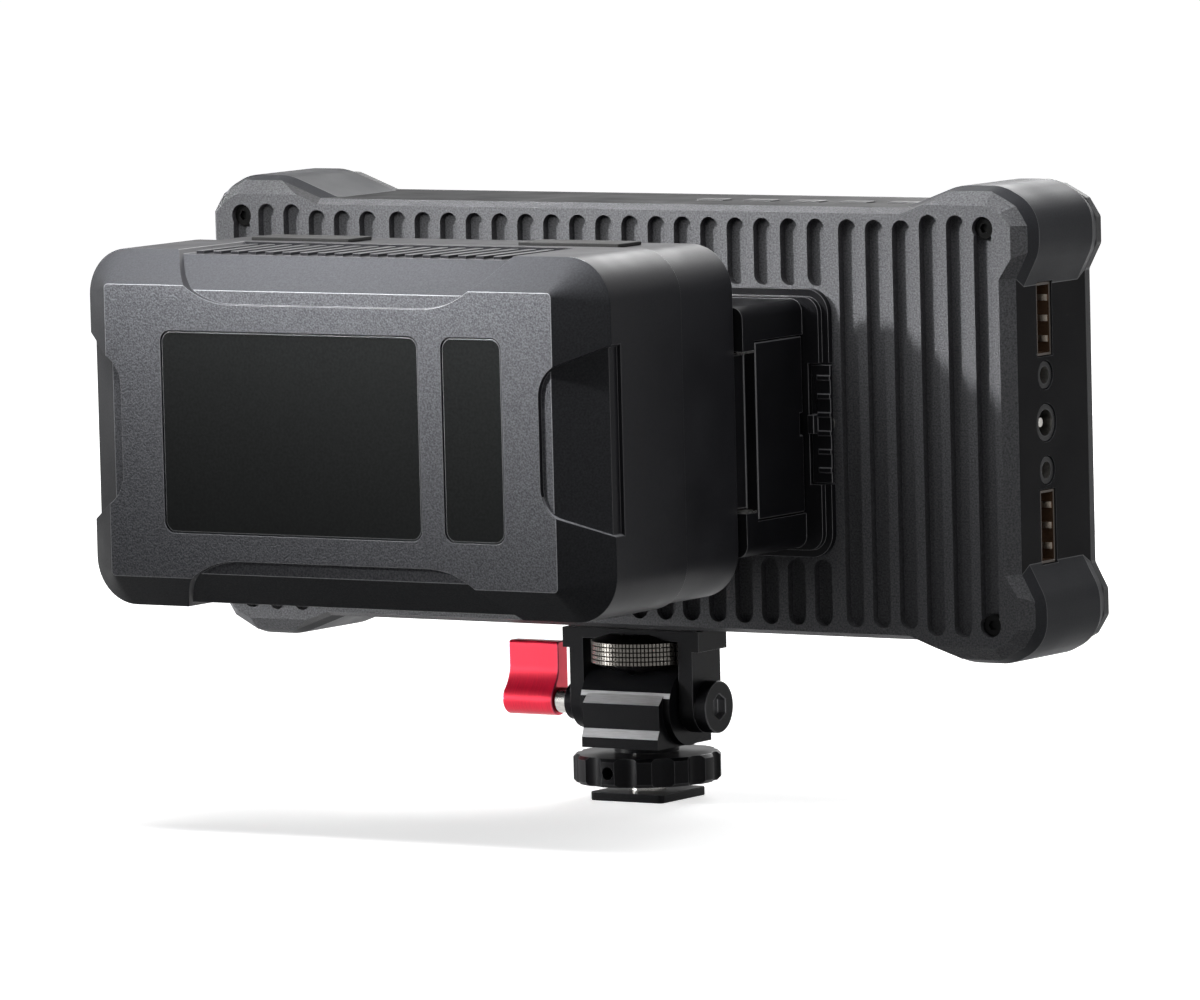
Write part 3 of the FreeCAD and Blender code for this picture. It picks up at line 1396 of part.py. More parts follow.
label_floor = pack_face - S.label_sink
windows = [label_body("window_large", label_large, label_floor, S.label_sink * 2, ZERO),
           label_body("window_narrow", label_narrow, label_floor, S.label_sink * 2, ZERO)]
front_gripped = join("front_gripped", pack_skin, *grips)
front_hollow = cut("front_hollow", front_gripped, front_cavity, nose_cavity, *windows)
front_shanks = shank_holes("front_shank", pack_screws_at, pack_parting, S.shank_length)
node("battery_front_shell", cut("front_cut", join("front_bossed", front_hollow, *front_bosses), *front_shanks))
for label, limits in (("label_panel_large", label_large), ("label_panel_narrow", label_narrow)):
    node(label, label_body(label + "_body", limits, label_floor, S.label_thick, S.slip_gap))

# Rear shell: the battery's back half, screwed to the front one from behind

rear_body = new_body("pack_rear_body")
rear_outline = sketch_on(rear_body, "XZ_Plane", pack_rear)
draw_rounded(rear_outline, *pack_limits(half_pack_x - S.pack_seam, half_pack_z - S.pack_seam), S.pack_corner)
pad(rear_body, rear_outline, S.pack_rear_depth, reverse=True)
rear_cavity = block("rear_cavity", (pack_x - inside_x, pack_x + inside_x), (tray_low_y, pack_parting),
                    (pack_z - inside_z, pack_z + inside_z))
rear_hollow = cut("rear_hollow", rear_body, rear_cavity)
rear_bosses = [rod("rear_boss_%d" % i, "y", (x, pack_rear + S.pack_wall / 2, z), S.pack_boss_radius,
                   S.pack_rear_depth - S.pack_wall / 2)
               for i, (x, z) in enumerate(pack_screws_at)]
pack_seat = pack_parting - S.head_thick
head_ways = [rod("pack_head_way_%d" % i, "y", (x, pack_rear, z), S.head_radius + S.slip_gap,
                 pack_seat - pack_rear)
             for i, (x, z) in enumerate(pack_screws_at)]
rear_shanks = shank_holes("rear_shank", pack_screws_at, pack_seat, S.head_thick)
rear_bossed = join("rear_bossed", rear_hollow, *rear_bosses)
node("battery_rear_shell", cut("rear_cut", rear_bossed, *head_ways, *rear_shanks))
screw_group("shell_screws", pack_screws_at, pack_seat, -1)

# Battery foot: the T-shaped slide under the rear shell, slotted for the plate's contacts

foot_low = pad_top + S.run_gap
foot_shelf = lip_low - S.run_gap
neck_half = rail_in - S.rail_lip - S.run_gap
foot_main = block("foot_main", (foot_right, foot_left), (foot_low, foot_shelf),
                  (centre_z - S.foot_half, centre_z + S.foot_half))
foot_neck = block("foot_neck", (foot_right + S.foot_neck_back, foot_left), (foot_shelf, pack_rear),
                  (centre_z - neck_half, centre_z + neck_half))
tooth_way = block("tooth_way", (foot_right, foot_left), (foot_low, pad_top + S.tooth_rise + S.run_gap),
                  (centre_z - S.tooth_width / 2 - S.run_gap, centre_z + S.tooth_width / 2 + S.run_gap))
foot_slots = [block("foot_slot_%d" % i, (foot_left - S.foot_slot_deep, foot_left),
                    (contact_mid_y - half_wide, contact_mid_y + half_wide),
                    (centre_z + offset - slot_half, centre_z + offset + slot_half))
              for i, offset in enumerate(contact_places)]
node("battery_foot", cut("foot_cut", join("foot_join", foot_main, foot_neck), tooth_way, *foot_slots))
contact_deep = S.foot_slot_deep - S.contact_reach - S.run_gap
slot_end = foot_left - S.foot_slot_deep
contacts = [block("pack_contact_%d" % i, (slot_end, slot_end + contact_deep),
                  (contact_mid_y - half_wide, contact_mid_y + half_wide),
                  (centre_z + offset - slot_half, centre_z + offset + slot_half))
            for i, offset in enumerate(contact_places)]
node("battery_contacts", group("pack_contact_group", contacts))

# Cells between two trays, with the protection board across the trays' fronts

cell_columns = [S.cell_pitch * (i - (CELL_COLUMNS - 1) / 2) for i in range(CELL_COLUMNS)]
cell_rows = [S.cell_pitch * (i + 0.5) for i in range(CELL_ROWS)]
cell_places = [(pack_x + column, tray_low_y + row) for column in cell_columns for row in cell_rows]
cells = [rod("cell_%d" % i, "z", (x, y, pack_z - S.cell_length / 2), S.cell_radius, S.cell_length)
         for i, (x, y) in enumerate(cell_places)]
node("battery_cells", group("cell_group", cells))
cells_front = tray_low_y + cells_deep
for label, up in (("cell_tray_upper", 1), ("cell_tray_lower", -1)):
    far = pack_z + tray_out * up
    inner = pack_z + (tray_out - S.tray_thick) * up
    low, high = (inner, far) if up > 0 else (far, inner)
    tray = block(label + "_slab", (pack_x - half_tray, pack_x + half_tray), (tray_low_y, cells_front),
                 (low, high))
    seat = inner if up > 0 else pack_z - cell_end
    seats = [rod("%s_seat_%d" % (label, i), "z", (x, y, seat), S.cell_radius, S.tray_thick - S.tray_floor)
             for i, (x, y) in enumerate(cell_places)]
    node(label, cut(label + "_cut", tray, *seats))
board_half_x = half_tray - S.pack_board_border
node("battery_board", block("pack_board", (pack_x - board_half_x, pack_x + board_half_x),
                            (cells_front, cells_front + S.pack_board_thick),
                            (pack_z - tray_out, pack_z + tray_out)))

# Rubber rests on top of the rear shell

rest_y = pack_rear + S.pack_rear_depth / 2
rest_z = pack_z + half_pack_z - S.pack_seam
rests = []
for i, side in enumerate((1, -1)):
    rest_x = pack_x + S.rest_spread * side
    rests.append(block("rest_%d" % i, (rest_x - S.rest_length / 2, rest_x + S.rest_length / 2),
                       (rest_y - S.rest_depth / 2, rest_y + S.rest_depth / 2), (rest_z, rest_z + S.rest_thick)))
node("battery_rests", group("rest_group", rests))

# Every object must be sound before any file is written

doc.recompute()
failed = [item.Name for item in doc.Objects if {"Invalid", "Error"} & set(item.State)]
if failed:
    raise RuntimeError("failed objects: " + ", ".join(failed))
for label, piece in nodes.items():
    if piece.Shape.isNull() or not piece.Shape.isValid() or not piece.Shape.Solids:
        raise RuntimeError("unsound piece: " + label)
os.makedirs("parts", exist_ok=True)
for label, piece in nodes.items():
    piece.Shape.exportStep("parts/%s.step" % label)
    print("%-22s %2d solids %12.2f mm3" % (label, len(piece.Shape.Solids), piece.Shape.Volume))
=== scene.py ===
import json
import math

import bpy
from mathutils import Matrix, Vector

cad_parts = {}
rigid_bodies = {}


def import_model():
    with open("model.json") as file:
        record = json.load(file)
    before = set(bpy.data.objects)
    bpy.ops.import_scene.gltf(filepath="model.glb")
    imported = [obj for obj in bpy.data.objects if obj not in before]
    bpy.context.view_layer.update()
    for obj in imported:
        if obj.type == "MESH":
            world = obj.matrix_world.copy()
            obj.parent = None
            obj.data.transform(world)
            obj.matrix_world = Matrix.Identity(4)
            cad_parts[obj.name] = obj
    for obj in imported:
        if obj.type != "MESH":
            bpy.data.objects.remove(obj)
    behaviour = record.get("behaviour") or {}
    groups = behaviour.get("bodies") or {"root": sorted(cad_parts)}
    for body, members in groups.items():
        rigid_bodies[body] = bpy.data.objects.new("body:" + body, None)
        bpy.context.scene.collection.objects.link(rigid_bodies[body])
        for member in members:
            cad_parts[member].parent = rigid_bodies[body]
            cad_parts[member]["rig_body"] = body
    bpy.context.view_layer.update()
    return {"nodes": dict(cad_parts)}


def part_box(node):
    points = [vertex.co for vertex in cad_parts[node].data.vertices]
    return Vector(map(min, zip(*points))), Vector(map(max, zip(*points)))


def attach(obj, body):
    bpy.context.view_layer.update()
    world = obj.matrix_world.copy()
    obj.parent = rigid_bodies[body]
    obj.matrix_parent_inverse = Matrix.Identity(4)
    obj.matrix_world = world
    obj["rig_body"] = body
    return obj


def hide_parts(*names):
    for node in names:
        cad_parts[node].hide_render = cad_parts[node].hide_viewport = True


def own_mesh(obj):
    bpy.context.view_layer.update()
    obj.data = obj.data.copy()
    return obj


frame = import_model()

# Shoe foot and post. The foot is a flat milled aluminium plate that slides into an accessory shoe,
# anodised black, and the post is a turned steel pin pressed into its middle.


def only(piece):
    """Selects one object and nothing else."""
    bpy.ops.object.select_all(action="DESELECT")
    bpy.context.view_layer.objects.active = piece
    piece.select_set(True)


fleck_band = (0.33, 0.67)
handling_band = (0.3, 0.7)
handling_per_metre = 70


def finish(name, colour, roughness, metal=0.0, gloss=0.5, grain=0.0004, depth=0.000006,
           fleck=0.15, stretch=(1, 1, 1), drift=0.06):
    """A skin with flecked colour, a fine grain and a shine that drifts over a few centimetres."""
    material = bpy.data.materials.new(name)
    material.use_nodes = True
    nodes = material.node_tree.nodes
    link = material.node_tree.links.new
    shader = nodes["Principled BSDF"]
    shader.inputs["Metallic"].default_value = metal
    shader.inputs["Specular IOR Level"].default_value = gloss
    place = nodes.new("ShaderNodeTexCoord")
    lay = nodes.new("ShaderNodeMapping")
    lay.inputs["Scale"].default_value = stretch
    link(place.outputs["Object"], lay.inputs["Vector"])
    skin = nodes.new("ShaderNodeTexNoise")
    skin.inputs["Scale"].default_value = 1 / grain
    skin.inputs["Detail"].default_value = 3
    link(lay.outputs["Vector"], skin.inputs["Vector"])
    tone = nodes.new("ShaderNodeValToRGB")
    dark, pale = tone.color_ramp.elements
    dark.position, pale.position = fleck_band
    dark.color = [c * (1 - fleck) for c in colour] + [1]
    pale.color = [min(1, c * (1 + fleck)) for c in colour] + [1]
    link(skin.outputs["Fac"], tone.inputs["Fac"])
    link(tone.outputs["Color"], shader.inputs["Base Color"])
    bump = nodes.new("ShaderNodeBump")
    bump.inputs["Distance"].default_value = depth
    link(skin.outputs["Fac"], bump.inputs["Height"])
    link(bump.outputs["Normal"], shader.inputs["Normal"])
    handling = nodes.new("ShaderNodeTexNoise")
    handling.inputs["Scale"].default_value = handling_per_metre
    link(place.outputs["Object"], handling.inputs["Vector"])
    shine = nodes.new("ShaderNodeMapRange")
    shine.inputs["From Min"].default_value = handling_band[0]
    shine.inputs["From Max"].default_value = handling_band[1]
    shine.inputs["To Min"].default_value = roughness - drift
    shine.inputs["To Max"].default_value = roughness + drift
    link(handling.outputs["Fac"], shine.inputs["Value"])
    link(shine.outputs["Result"], shader.inputs["Roughness"])
    return material


merge_gap = 0.000001
flat_angle = math.radians(0.3)
crease_angle = math.radians(14)
round_steps = 4
edge_place = 1


def eased(node, width, face, edge, segments=2, rounded=None, round_width=0.0):
    """A piece with its sharp edges broken by a small width, standing for the plain solid.

    A test may pick edges, by their two ends, that are rounded more first.
    """
    solid = frame["nodes"][node]
    piece = bpy.data.objects.new(node + "_eased", solid.data.copy())
    bpy.context.scene.collection.objects.link(piece)
    piece.data.materials.clear()
    piece.data.materials.append(face)
    piece.data.materials.append(edge)
    only(piece)
    bpy.ops.object.mode_set(mode="EDIT")
    bpy.ops.mesh.customdata_custom_splitnormals_clear()
    bpy.ops.mesh.select_all(action="SELECT")
    bpy.ops.mesh.remove_doubles(threshold=merge_gap)
    bpy.ops.mesh.dissolve_limited(angle_limit=flat_angle)
    if rounded:
        bpy.ops.mesh.select_mode(type="EDGE")
        bpy.ops.mesh.select_all(action="DESELECT")
        bpy.ops.object.mode_set(mode="OBJECT")
        for line in piece.data.edges:
            line.select = rounded(*(piece.data.vertices[end].co for end in line.vertices))
        bpy.ops.object.mode_set(mode="EDIT")
        bpy.ops.mesh.bevel(offset=round_width, segments=round_steps, affect="EDGES")
    bpy.ops.object.mode_set(mode="OBJECT")
    bpy.ops.object.shade_smooth_by_angle(angle=crease_angle)
    bpy.ops.object.modifier_add(type="BEVEL")
    bevel = piece.modifiers[-1]
    bevel.width = width
    bevel.segments = segments
    bevel.limit_method = "ANGLE"
    bevel.angle_limit = crease_angle
    bevel.harden_normals = True
    # The bevel faces take the edge finish, lighter and glossier on most pieces: a painted highlight.
    bevel.material = edge_place
    bpy.ops.object.modifier_apply(modifier=bevel.name)
    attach(piece, solid["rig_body"])
    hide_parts(node)
    return piece


def coat(material, *nodes):
    """Gives plain solids their finish."""
    for node in nodes:
        frame["nodes"][node].material_slots[0].material = material


anodised = finish("black_anodised", (0.006, 0.006, 0.007), 0.36, gloss=0.06, grain=0.0003,
                  depth=0.000004)
# A paler, metallic copy of the anodising for the eased edges: a painted highlight.
anodised_edge_sheen = finish("sheen_edge_anodised", (0.045, 0.045, 0.048), 0.30, metal=0.5, gloss=0.4, grain=0.0002)
turned_steel = finish("turned_steel", (0.50, 0.49, 0.47), 0.27, metal=1.0, grain=0.0005,
                      depth=0.000003, stretch=(0.3, 0.3, 6))
eased("shoe_foot", 0.00015, anodised, anodised_edge_sheen)
coat(turned_steel, "shoe_post")

# Lock wheel. A turned aluminium disc with twelve finger flutes and a pin hole in its rim, anodised
# black. It runs down the post's thread and clamps the shoe's lips against the foot.

eased("lock_wheel", 0.00025, anodised, anodised_edge_sheen)

# Swivel base. A milled aluminium block that turns on the post, with a barrel across it for the tilt
# bolt and machined bevels along its flanks. The upward-facing flank bevels get a pale metal colour,
# a painted highlight. A black grub screw keeps it on the post.


def mark(piece, material, wanted):
    """Gives the faces that a test picks a finish of their own."""
    if material.name not in piece.data.materials:
        piece.data.materials.append(material)
    place = piece.data.materials.find(material.name)
    for face in piece.data.polygons:
        if wanted(face.center, face.normal):
            face.material_index = place


# A pale metal colour for the flank bevels that face upwards: a painted highlight.
flank_highlight = finish("flank_highlight_bevel", (0.50, 0.50, 0.51), 0.34, metal=0.45, grain=0.0006,
                depth=0.000004, stretch=(0.15, 4, 4))
swivel = eased("swivel_base", 0.0002, anodised, anodised_edge_sheen)
flank = 0.0078
mark(swivel, flank_highlight, lambda middle, normal: abs(middle.y) > flank
     and 0.3 < normal.z < 0.9 and abs(normal.x) < 0.1)
black_steel = finish("black_steel", (0.014, 0.014, 0.015), 0.38, metal=0.6, grain=0.0002)
coat(black_steel, "grub_screw")

# Tilt bracket. A milled aluminium fork, anodised black: a platform under the monitor and two ears
# on the tilt bolt. A thin rubber pad is glued on the platform so the monitor can't twist.

eased("tilt_bracket", 0.00025, anodised, anodised_edge_sheen)
rubber = finish("rubber", (0.012, 0.012, 0.012), 0.72, gloss=0.25, grain=0.0003, depth=0.00002,
                fleck=0.3)
eased("bracket_pad", 0.00012, rubber, rubber)

# Tilt bolt and its stack. A black bolt with a socket head goes through both ears and the swivel
# base, with steel friction washers beside the base, a black spacer and a bright turned collar.

socket_grey = finish("socket_grey", (0.16, 0.16, 0.165), 0.36, metal=0.8, grain=0.0002)
bolt = eased("tilt_bolt", 0.00022, anodised, anodised_edge_sheen)
bolt_low, bolt_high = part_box("tilt_bolt")
bolt_axis = (bolt_low + bolt_high) / 2
key_socket_floor = bolt_low.x + 0.0022
key_socket_mouth = bolt_low.x + 0.0001
key_socket_reach = 0.0029
mark(bolt, socket_grey, lambda middle, normal: key_socket_mouth < middle.x < key_socket_floor
     and (middle - bolt_axis).yz.length < key_socket_reach)
coat(black_steel, "friction_washers")
eased("lever_spacer", 0.0002, anodised, anodised_edge_sheen)
eased("lever_collar", 0.0002, turned_steel, turned_steel)

# Tilt lever. A swept aluminium wing on a round hub, anodised red after fine brushing, that turns on
# the bolt's threaded end and squeezes the ears together.

red = finish("red_anodised", (0.74, 0.012, 0.045), 0.32, metal=0.45, grain=0.0006, depth=0.000005,
             fleck=0.10, stretch=(4, 0.12, 0.12), drift=0.04)
# A paler pink for the eased edges: a painted highlight.
red_edge = finish("red_edge", (0.90, 0.10, 0.17), 0.28, metal=0.5, grain=0.0004, fleck=0.06)
eased("tilt_lever", 0.0003, red, red_edge, segments=3)

# Thumb wheel. A bright steel disc under the platform with a square knurl all round its rim. It is
# pressed on the quarter-inch screw that goes up into the monitor's brass insert.

wheel_low, wheel_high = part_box("thumb_wheel")
knurl_high = 0.0003
knurl_bands = 5
knurl_round = 88
knurl_gap = 0.00013
face_border = 0.0016
wheel_thick = wheel_high.z - wheel_low.z
bpy.ops.object.select_all(action="DESELECT")
bpy.ops.mesh.primitive_cylinder_add(vertices=knurl_round, depth=wheel_thick,
                                    radius=(wheel_high.x - wheel_low.x) / 2 - knurl_high,
                                    location=(wheel_low + wheel_high) / 2)
wheel = bpy.context.object
wheel.name = "thumb_wheel_knurled"
bpy.ops.object.transform_apply(location=True, rotation=True, scale=True)


def pick(piece, wanted):
    """In edit mode, selects the faces that a test picks, and nothing else."""
    bpy.ops.mesh.select_mode(type="FACE")
    bpy.ops.mesh.select_all(action="DESELECT")
    bpy.ops.object.mode_set(mode="OBJECT")
    for face in piece.data.polygons:
        face.select = wanted(face.center, face.normal)
    bpy.ops.object.mode_set(mode="EDIT")


bpy.ops.object.mode_set(mode="EDIT")
for band in range(1, knurl_bands):
    bpy.ops.mesh.select_all(action="SELECT")
    level = wheel_low.z + wheel_thick * band / knurl_bands
    bpy.ops.mesh.bisect(plane_co=(0, 0, level), plane_no=(0, 0, 1))
pick(wheel, lambda middle, normal: abs(normal.z) < 0.5)
bpy.ops.mesh.inset(thickness=knurl_gap, use_individual=True)
bpy.ops.transform.shrink_fatten(value=knurl_high)
pick(wheel, lambda middle, normal: abs(normal.z) > 0.9)
bpy.ops.mesh.inset(thickness=face_border)
bpy.ops.object.mode_set(mode="OBJECT")
knurled_steel = finish("knurled_steel", (0.10, 0.094, 0.086), 0.30, metal=1.0, grain=0.0002,
                       depth=0.000004)
wheel.data.materials.append(knurled_steel)
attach(wheel, "thumb_wheel")
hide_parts("thumb_wheel")
brass = finish("brass", (0.62, 0.44, 0.17), 0.33, metal=1.0, grain=0.0003)
coat(turned_steel, "mount_screw")
coat(brass, "thread_insert")

# Casing. The deep frame round the monitor, moulded in tough black polymer and painted, with a
# crowned bumper over each corner and openings for the ports and the keys.

casing_paint = finish("casing_paint", (0.033, 0.034, 0.038), 0.46, gloss=0.05, grain=0.00035,
                      depth=0.000006, fleck=0.08)
# A paler, glossier paint for the eased edges: a painted highlight.
casing_edge = finish("casing_edge", (0.060, 0.061, 0.065), 0.42, gloss=0.3, grain=0.00035)
casing_side_shade = finish("casing_side_shade", (0.006, 0.006, 0.007), 0.42, gloss=0.02, grain=0.0004)
casing_low, casing_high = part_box("casing")
casing_middle = (casing_low + casing_high) / 2
casing_half = (casing_high - casing_low) / 2
bumper_rise = 0.0022
bumper_reach = 0.0038
bumper_round = 0.0021


def on_bumper(one, other):
    """True for an edge that runs through a bumper from the screen's side to the back."""
    along = other - one
    outer = all(abs(end.x - casing_middle.x) > casing_half.x - bumper_reach
                or abs(end.z - casing_middle.z) > casing_half.z - bumper_rise
                for end in (one, other))
    return outer and abs(along.y) > 0.8 * along.length


casing = eased("casing", 0.0006, casing_paint, casing_edge, segments=3, rounded=on_bumper,
               round_width=bumper_round)
wall_reach_x = 0.068
wall_reach_z = 0.028
# Painted shade: the flat walls between the bumpers go near black, the bumpers keep the paint.
mark(casing, casing_side_shade, lambda middle, normal: abs(normal.x) > 0.9
     and abs(middle.z - casing_middle.z) < wall_reach_z)
mark(casing, casing_side_shade, lambda middle, normal: abs(normal.z) > 0.9
     and abs(middle.x - casing_middle.x) < wall_reach_x)

# Main board. A green fibre board on four bosses of the rear cover, with three large chips and steel
# screws. It carries the ports on its edge.

board = finish("board_green", (0.02, 0.10, 0.045), 0.45, grain=0.0012, depth=0.00001, fleck=0.25)
chip = finish("chip_black", (0.02, 0.02, 0.022), 0.5, grain=0.0003)
coat(board, "main_board", "key_board", "battery_board")
coat(chip, "board_chips")
coat(turned_steel, "board_screws", "carrier_screws", "plate_screws", "shell_screws")

# Video sockets. Folded sheet-metal shells soldered to the board, warm bronze, with a contact tongue
# in the throat and sprung fingers in the walls. The throat gets a darker bronze and the front lip a
# near-black one: painted shade in and round each mouth.

shell_bronze = finish("socket_shell", (0.20, 0.14, 0.09), 0.36, metal=0.9, grain=0.0004)
throat_shade_bronze = finish("socket_throat_shade", (0.10, 0.058, 0.034), 0.42, metal=0.7, grain=0.0004)
lip_shade = finish("socket_lip_shade", (0.030, 0.022, 0.016), 0.40, metal=0.6, grain=0.0004)
shell_steel = finish("socket_spring", (0.52, 0.48, 0.43), 0.30, metal=1.0, grain=0.0004)
contact_gold = finish("contact_gold", (0.80, 0.56, 0.22), 0.28, metal=1.0, grain=0.0002)
shell_wall = 0.0006
throat_end = 0.0001
lip_depth = 0.0003
finger_long, finger_thick, finger_wide = 0.0034, 0.0002, 0.0013
finger_inset = 0.0021
finger_spots = (-0.28, 0.0, 0.28)
finger_bow = 0.0003
bend_angle = math.radians(40)
for node in ("video_in_socket", "video_out_socket"):
    socket = eased(node, 0.0001, shell_bronze, shell_bronze)
    low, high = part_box(node)
    # Painted shade: a near-black lip round the mouth and a darker bronze throat.
    mark(socket, lip_shade, lambda middle, normal: middle.x < low.x + lip_depth)
    mark(socket, throat_shade_bronze, lambda middle, normal:
         low.x + lip_depth < middle.x < high.x - throat_end
         and low.y + shell_wall / 2 < middle.y < high.y - shell_wall / 2
         and low.z + shell_wall / 2 < middle.z < high.z - shell_wall / 2)
    fingers = []
    for wall_y, rise in ((low.y + shell_wall, 1), (high.y - shell_wall, -1)):
        for along in finger_spots:
            mid_z = (low.z + high.z) / 2 + along * (high.z - low.z)
            bpy.ops.object.select_all(action="DESELECT")
            bpy.ops.mesh.primitive_cube_add(
                size=1, scale=(finger_long, finger_thick, finger_wide),
                location=(low.x + finger_inset, wall_y + rise * finger_thick / 2, mid_z))
            tab = bpy.context.object
            bpy.ops.object.transform_apply(location=True, rotation=True, scale=True)
            bpy.ops.object.mode_set(mode="EDIT")
            pick(tab, lambda middle, normal: normal.y * rise > 0.9)
            bpy.ops.mesh.subdivide(number_cuts=3)
            bpy.ops.object.mode_set(mode="OBJECT")
            for point in tab.data.vertices:
                if (point.co.y - wall_y) * rise > 0.75 * finger_thick:
                    reach = (point.co.x - low.x - finger_inset) / (finger_long / 2)
                    point.co.y += rise * finger_bow * max(0, 1 - reach * reach)
            fingers.append(tab)
    only(fingers[0])
    for tab in fingers:
        tab.select_set(True)
    bpy.ops.object.join()
    sprung = bpy.context.object
    sprung.name = node + "_fingers"
    sprung.data.materials.append(shell_steel)
    bpy.ops.object.shade_smooth_by_angle(angle=bend_angle)
    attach(sprung, "monitor")

# Round jacks. Two small ones for phones and service and a larger one with a centre pin for power:
# black moulded bodies on the board with a bright contact ring at each mouth.

jack_black = finish("jack_black", (0.007, 0.007, 0.008), 0.4, gloss=0.12, grain=0.0003)
# A lighter rim colour for the eased edges: a painted highlight.
jack_rim = finish("jack_rim", (0.03, 0.03, 0.032), 0.34, gloss=0.3, grain=0.0003)
mouth_steel = finish("jack_mouth", (0.40, 0.39, 0.37), 0.32, metal=1.0, grain=0.0003)
mouth_from, mouth_to = 0.0005, 0.010
mouth_reach = 0.0029
port_line_y = -0.0024
body_wall = 0.0012
for node in ("headphone_jack", "service_jack", "dc_jack"):
    jack = eased(node, 0.00025, jack_black, jack_rim)
    low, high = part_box(node)
    port_axis = Vector((0, port_line_y, (low.z + high.z) / 2))
    mark(jack, mouth_steel, lambda middle, normal: low.x + mouth_from < middle.x < low.x + mouth_to
         and normal.x < 0.5 and abs(middle.y - high.y) > body_wall
         and (Vector((0, middle.y, middle.z)) - port_axis).length < mouth_reach)

# Keys. Five rubber-feel caps through slots in the top edge, each on a flange over its switch on a
# narrow board.

key_cap = finish("key_cap", (0.022, 0.022, 0.024), 0.55, gloss=0.35, grain=0.0003, depth=0.00001)
# A lighter colour for the eased edges: a painted highlight.
key_edge = finish("key_edge", (0.05, 0.05, 0.053), 0.5, gloss=0.35, grain=0.0003)
for node in ("power_key", "source_key", "menu_key", "minus_key", "plus_key"):
    eased(node, 0.0003, key_cap, key_edge, segments=3)
coat(chip, "key_switches")

# Screen stack. A backlight tray, the panel and a folded sheet-metal carrier, screwed into blocks in
# the casing's corners.

tray_white = finish("backlight_white", (0.75, 0.75, 0.76), 0.5, grain=0.002)
panel_dark = finish("panel_dark", (0.018, 0.019, 0.022), 0.22, grain=0.0003, depth=0.000001)
sheet_metal = finish("sheet_metal", (0.52, 0.52, 0.51), 0.38, metal=1.0, grain=0.0006,
                     stretch=(0.2, 3, 3))
coat(tray_white, "backlight")
coat(panel_dark, "display_panel")
coat(sheet_metal, "panel_carrier")

# Front bezel and glass. A black moulded frame round the picture with dark cover glass let into it,
# bonded at its border.

bezel_black = finish("bezel_black", (0.024, 0.024, 0.026), 0.5, gloss=0.22, grain=0.00035,
                     depth=0.000008)
# A lighter colour for the eased edges: a painted highlight.
bezel_edge = finish("bezel_edge", (0.04, 0.04, 0.042), 0.45, gloss=0.35, grain=0.00035)
glass = finish("cover_glass", (0.004, 0.004, 0.005), 0.06, gloss=0.2, grain=0.004, depth=0.0000002,
               drift=0.03)
eased("front_bezel", 0.0003, bezel_black, bezel_edge, segments=3)
eased("screen_glass", 0.00015, glass, glass)

# Rear cover. A die-cast back plate in dark textured paint, grooved to shed heat, its rim sloped down
# to the casing. Four black socket screws sit in sunk holes at its corners.

cover_paint = finish("cover_paint", (0.105, 0.106, 0.112), 0.48, gloss=0.08, grain=0.0004,
                     depth=0.00012, fleck=0.34)
# A pale glossy copy of the paint for the eased edges: a painted highlight.
cover_edge = finish("cover_edge", (0.22, 0.22, 0.23), 0.36, gloss=0.5, grain=0.00045, depth=0.00001)
# A darker copy for the walls of the grooves and holes: painted shade in the grooves.
groove_wall_shade = finish("groove_wall_shade", (0.040, 0.040, 0.043), 0.52, gloss=0.15, grain=0.0005,
                      depth=0.00004, fleck=0.35)
cover = eased("rear_cover", 0.0003, cover_paint, cover_edge)
cover_low, cover_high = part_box("rear_cover")
groove_sink = 0.0003
cover_rim = 0.003
# Painted shade: the groove and hole walls take the darker copy.
mark(cover, groove_wall_shade, lambda middle, normal: abs(normal.y) < 0.3
     and middle.y < cover_high.y - groove_sink
     and cover_low.x + cover_rim < middle.x < cover_high.x - cover_rim)
screw_black = finish("screw_black", (0.003, 0.003, 0.003), 0.5, gloss=0.05, grain=0.0003)
coat(screw_black, "cover_screws")

# Battery plate. A stepped black moulding screwed to the rear cover, with two lipped rails, an end
# stop with gold blades, and spring-steel guides let into the lips.

plate_black = finish("plate_black", (0.005, 0.005, 0.006), 0.40, gloss=0.12, grain=0.0004,
                     depth=0.000006)
# A lighter colour for the eased edges: a painted highlight.
plate_edge = finish("plate_edge", (0.085, 0.085, 0.090), 0.32, gloss=0.5, grain=0.0004)
eased("battery_plate", 0.0003, plate_black, plate_edge, segments=3)
coat(turned_steel, "guide_clips")
coat(contact_gold, "plate_contacts", "battery_contacts")

# Release button. A thin ribbed black slider in the plate's edge that is pressed in to free the
# battery, on a small wire spring.

eased("release_button", 0.00018, plate_black, plate_edge)
spring_solid = frame["nodes"]["release_spring"]
spring = bpy.data.objects.new("release_spring_wire", spring_solid.data.copy())
bpy.context.scene.collection.objects.link(spring)
only(spring)
bpy.ops.object.mode_set(mode="EDIT")
bpy.ops.mesh.customdata_custom_splitnormals_clear()
bpy.ops.mesh.select_all(action="SELECT")
bpy.ops.mesh.remove_doubles(threshold=merge_gap)
bpy.ops.object.mode_set(mode="OBJECT")
bpy.ops.object.shade_smooth_by_angle(angle=bend_angle)
spring.data.materials.clear()
spring.data.materials.append(turned_steel)
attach(spring, "monitor")
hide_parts("release_spring")
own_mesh(spring)

# Battery core. Ten wrapped round cells stand between two moulded trays, with a protection board
# across their fronts.

cell_wrap = finish("cell_wrap", (0.10, 0.30, 0.40), 0.35, grain=0.003)
tray_grey = finish("tray_grey", (0.12, 0.12, 0.12), 0.55, grain=0.0006)
coat(cell_wrap, "battery_cells")
coat(tray_grey, "cell_tray_upper", "cell_tray_lower")

# Battery rear shell and foot. A black moulded half with two rubber rests on top, four screws in deep
# wells, and the T-shaped foot that slides into the plate's rails.

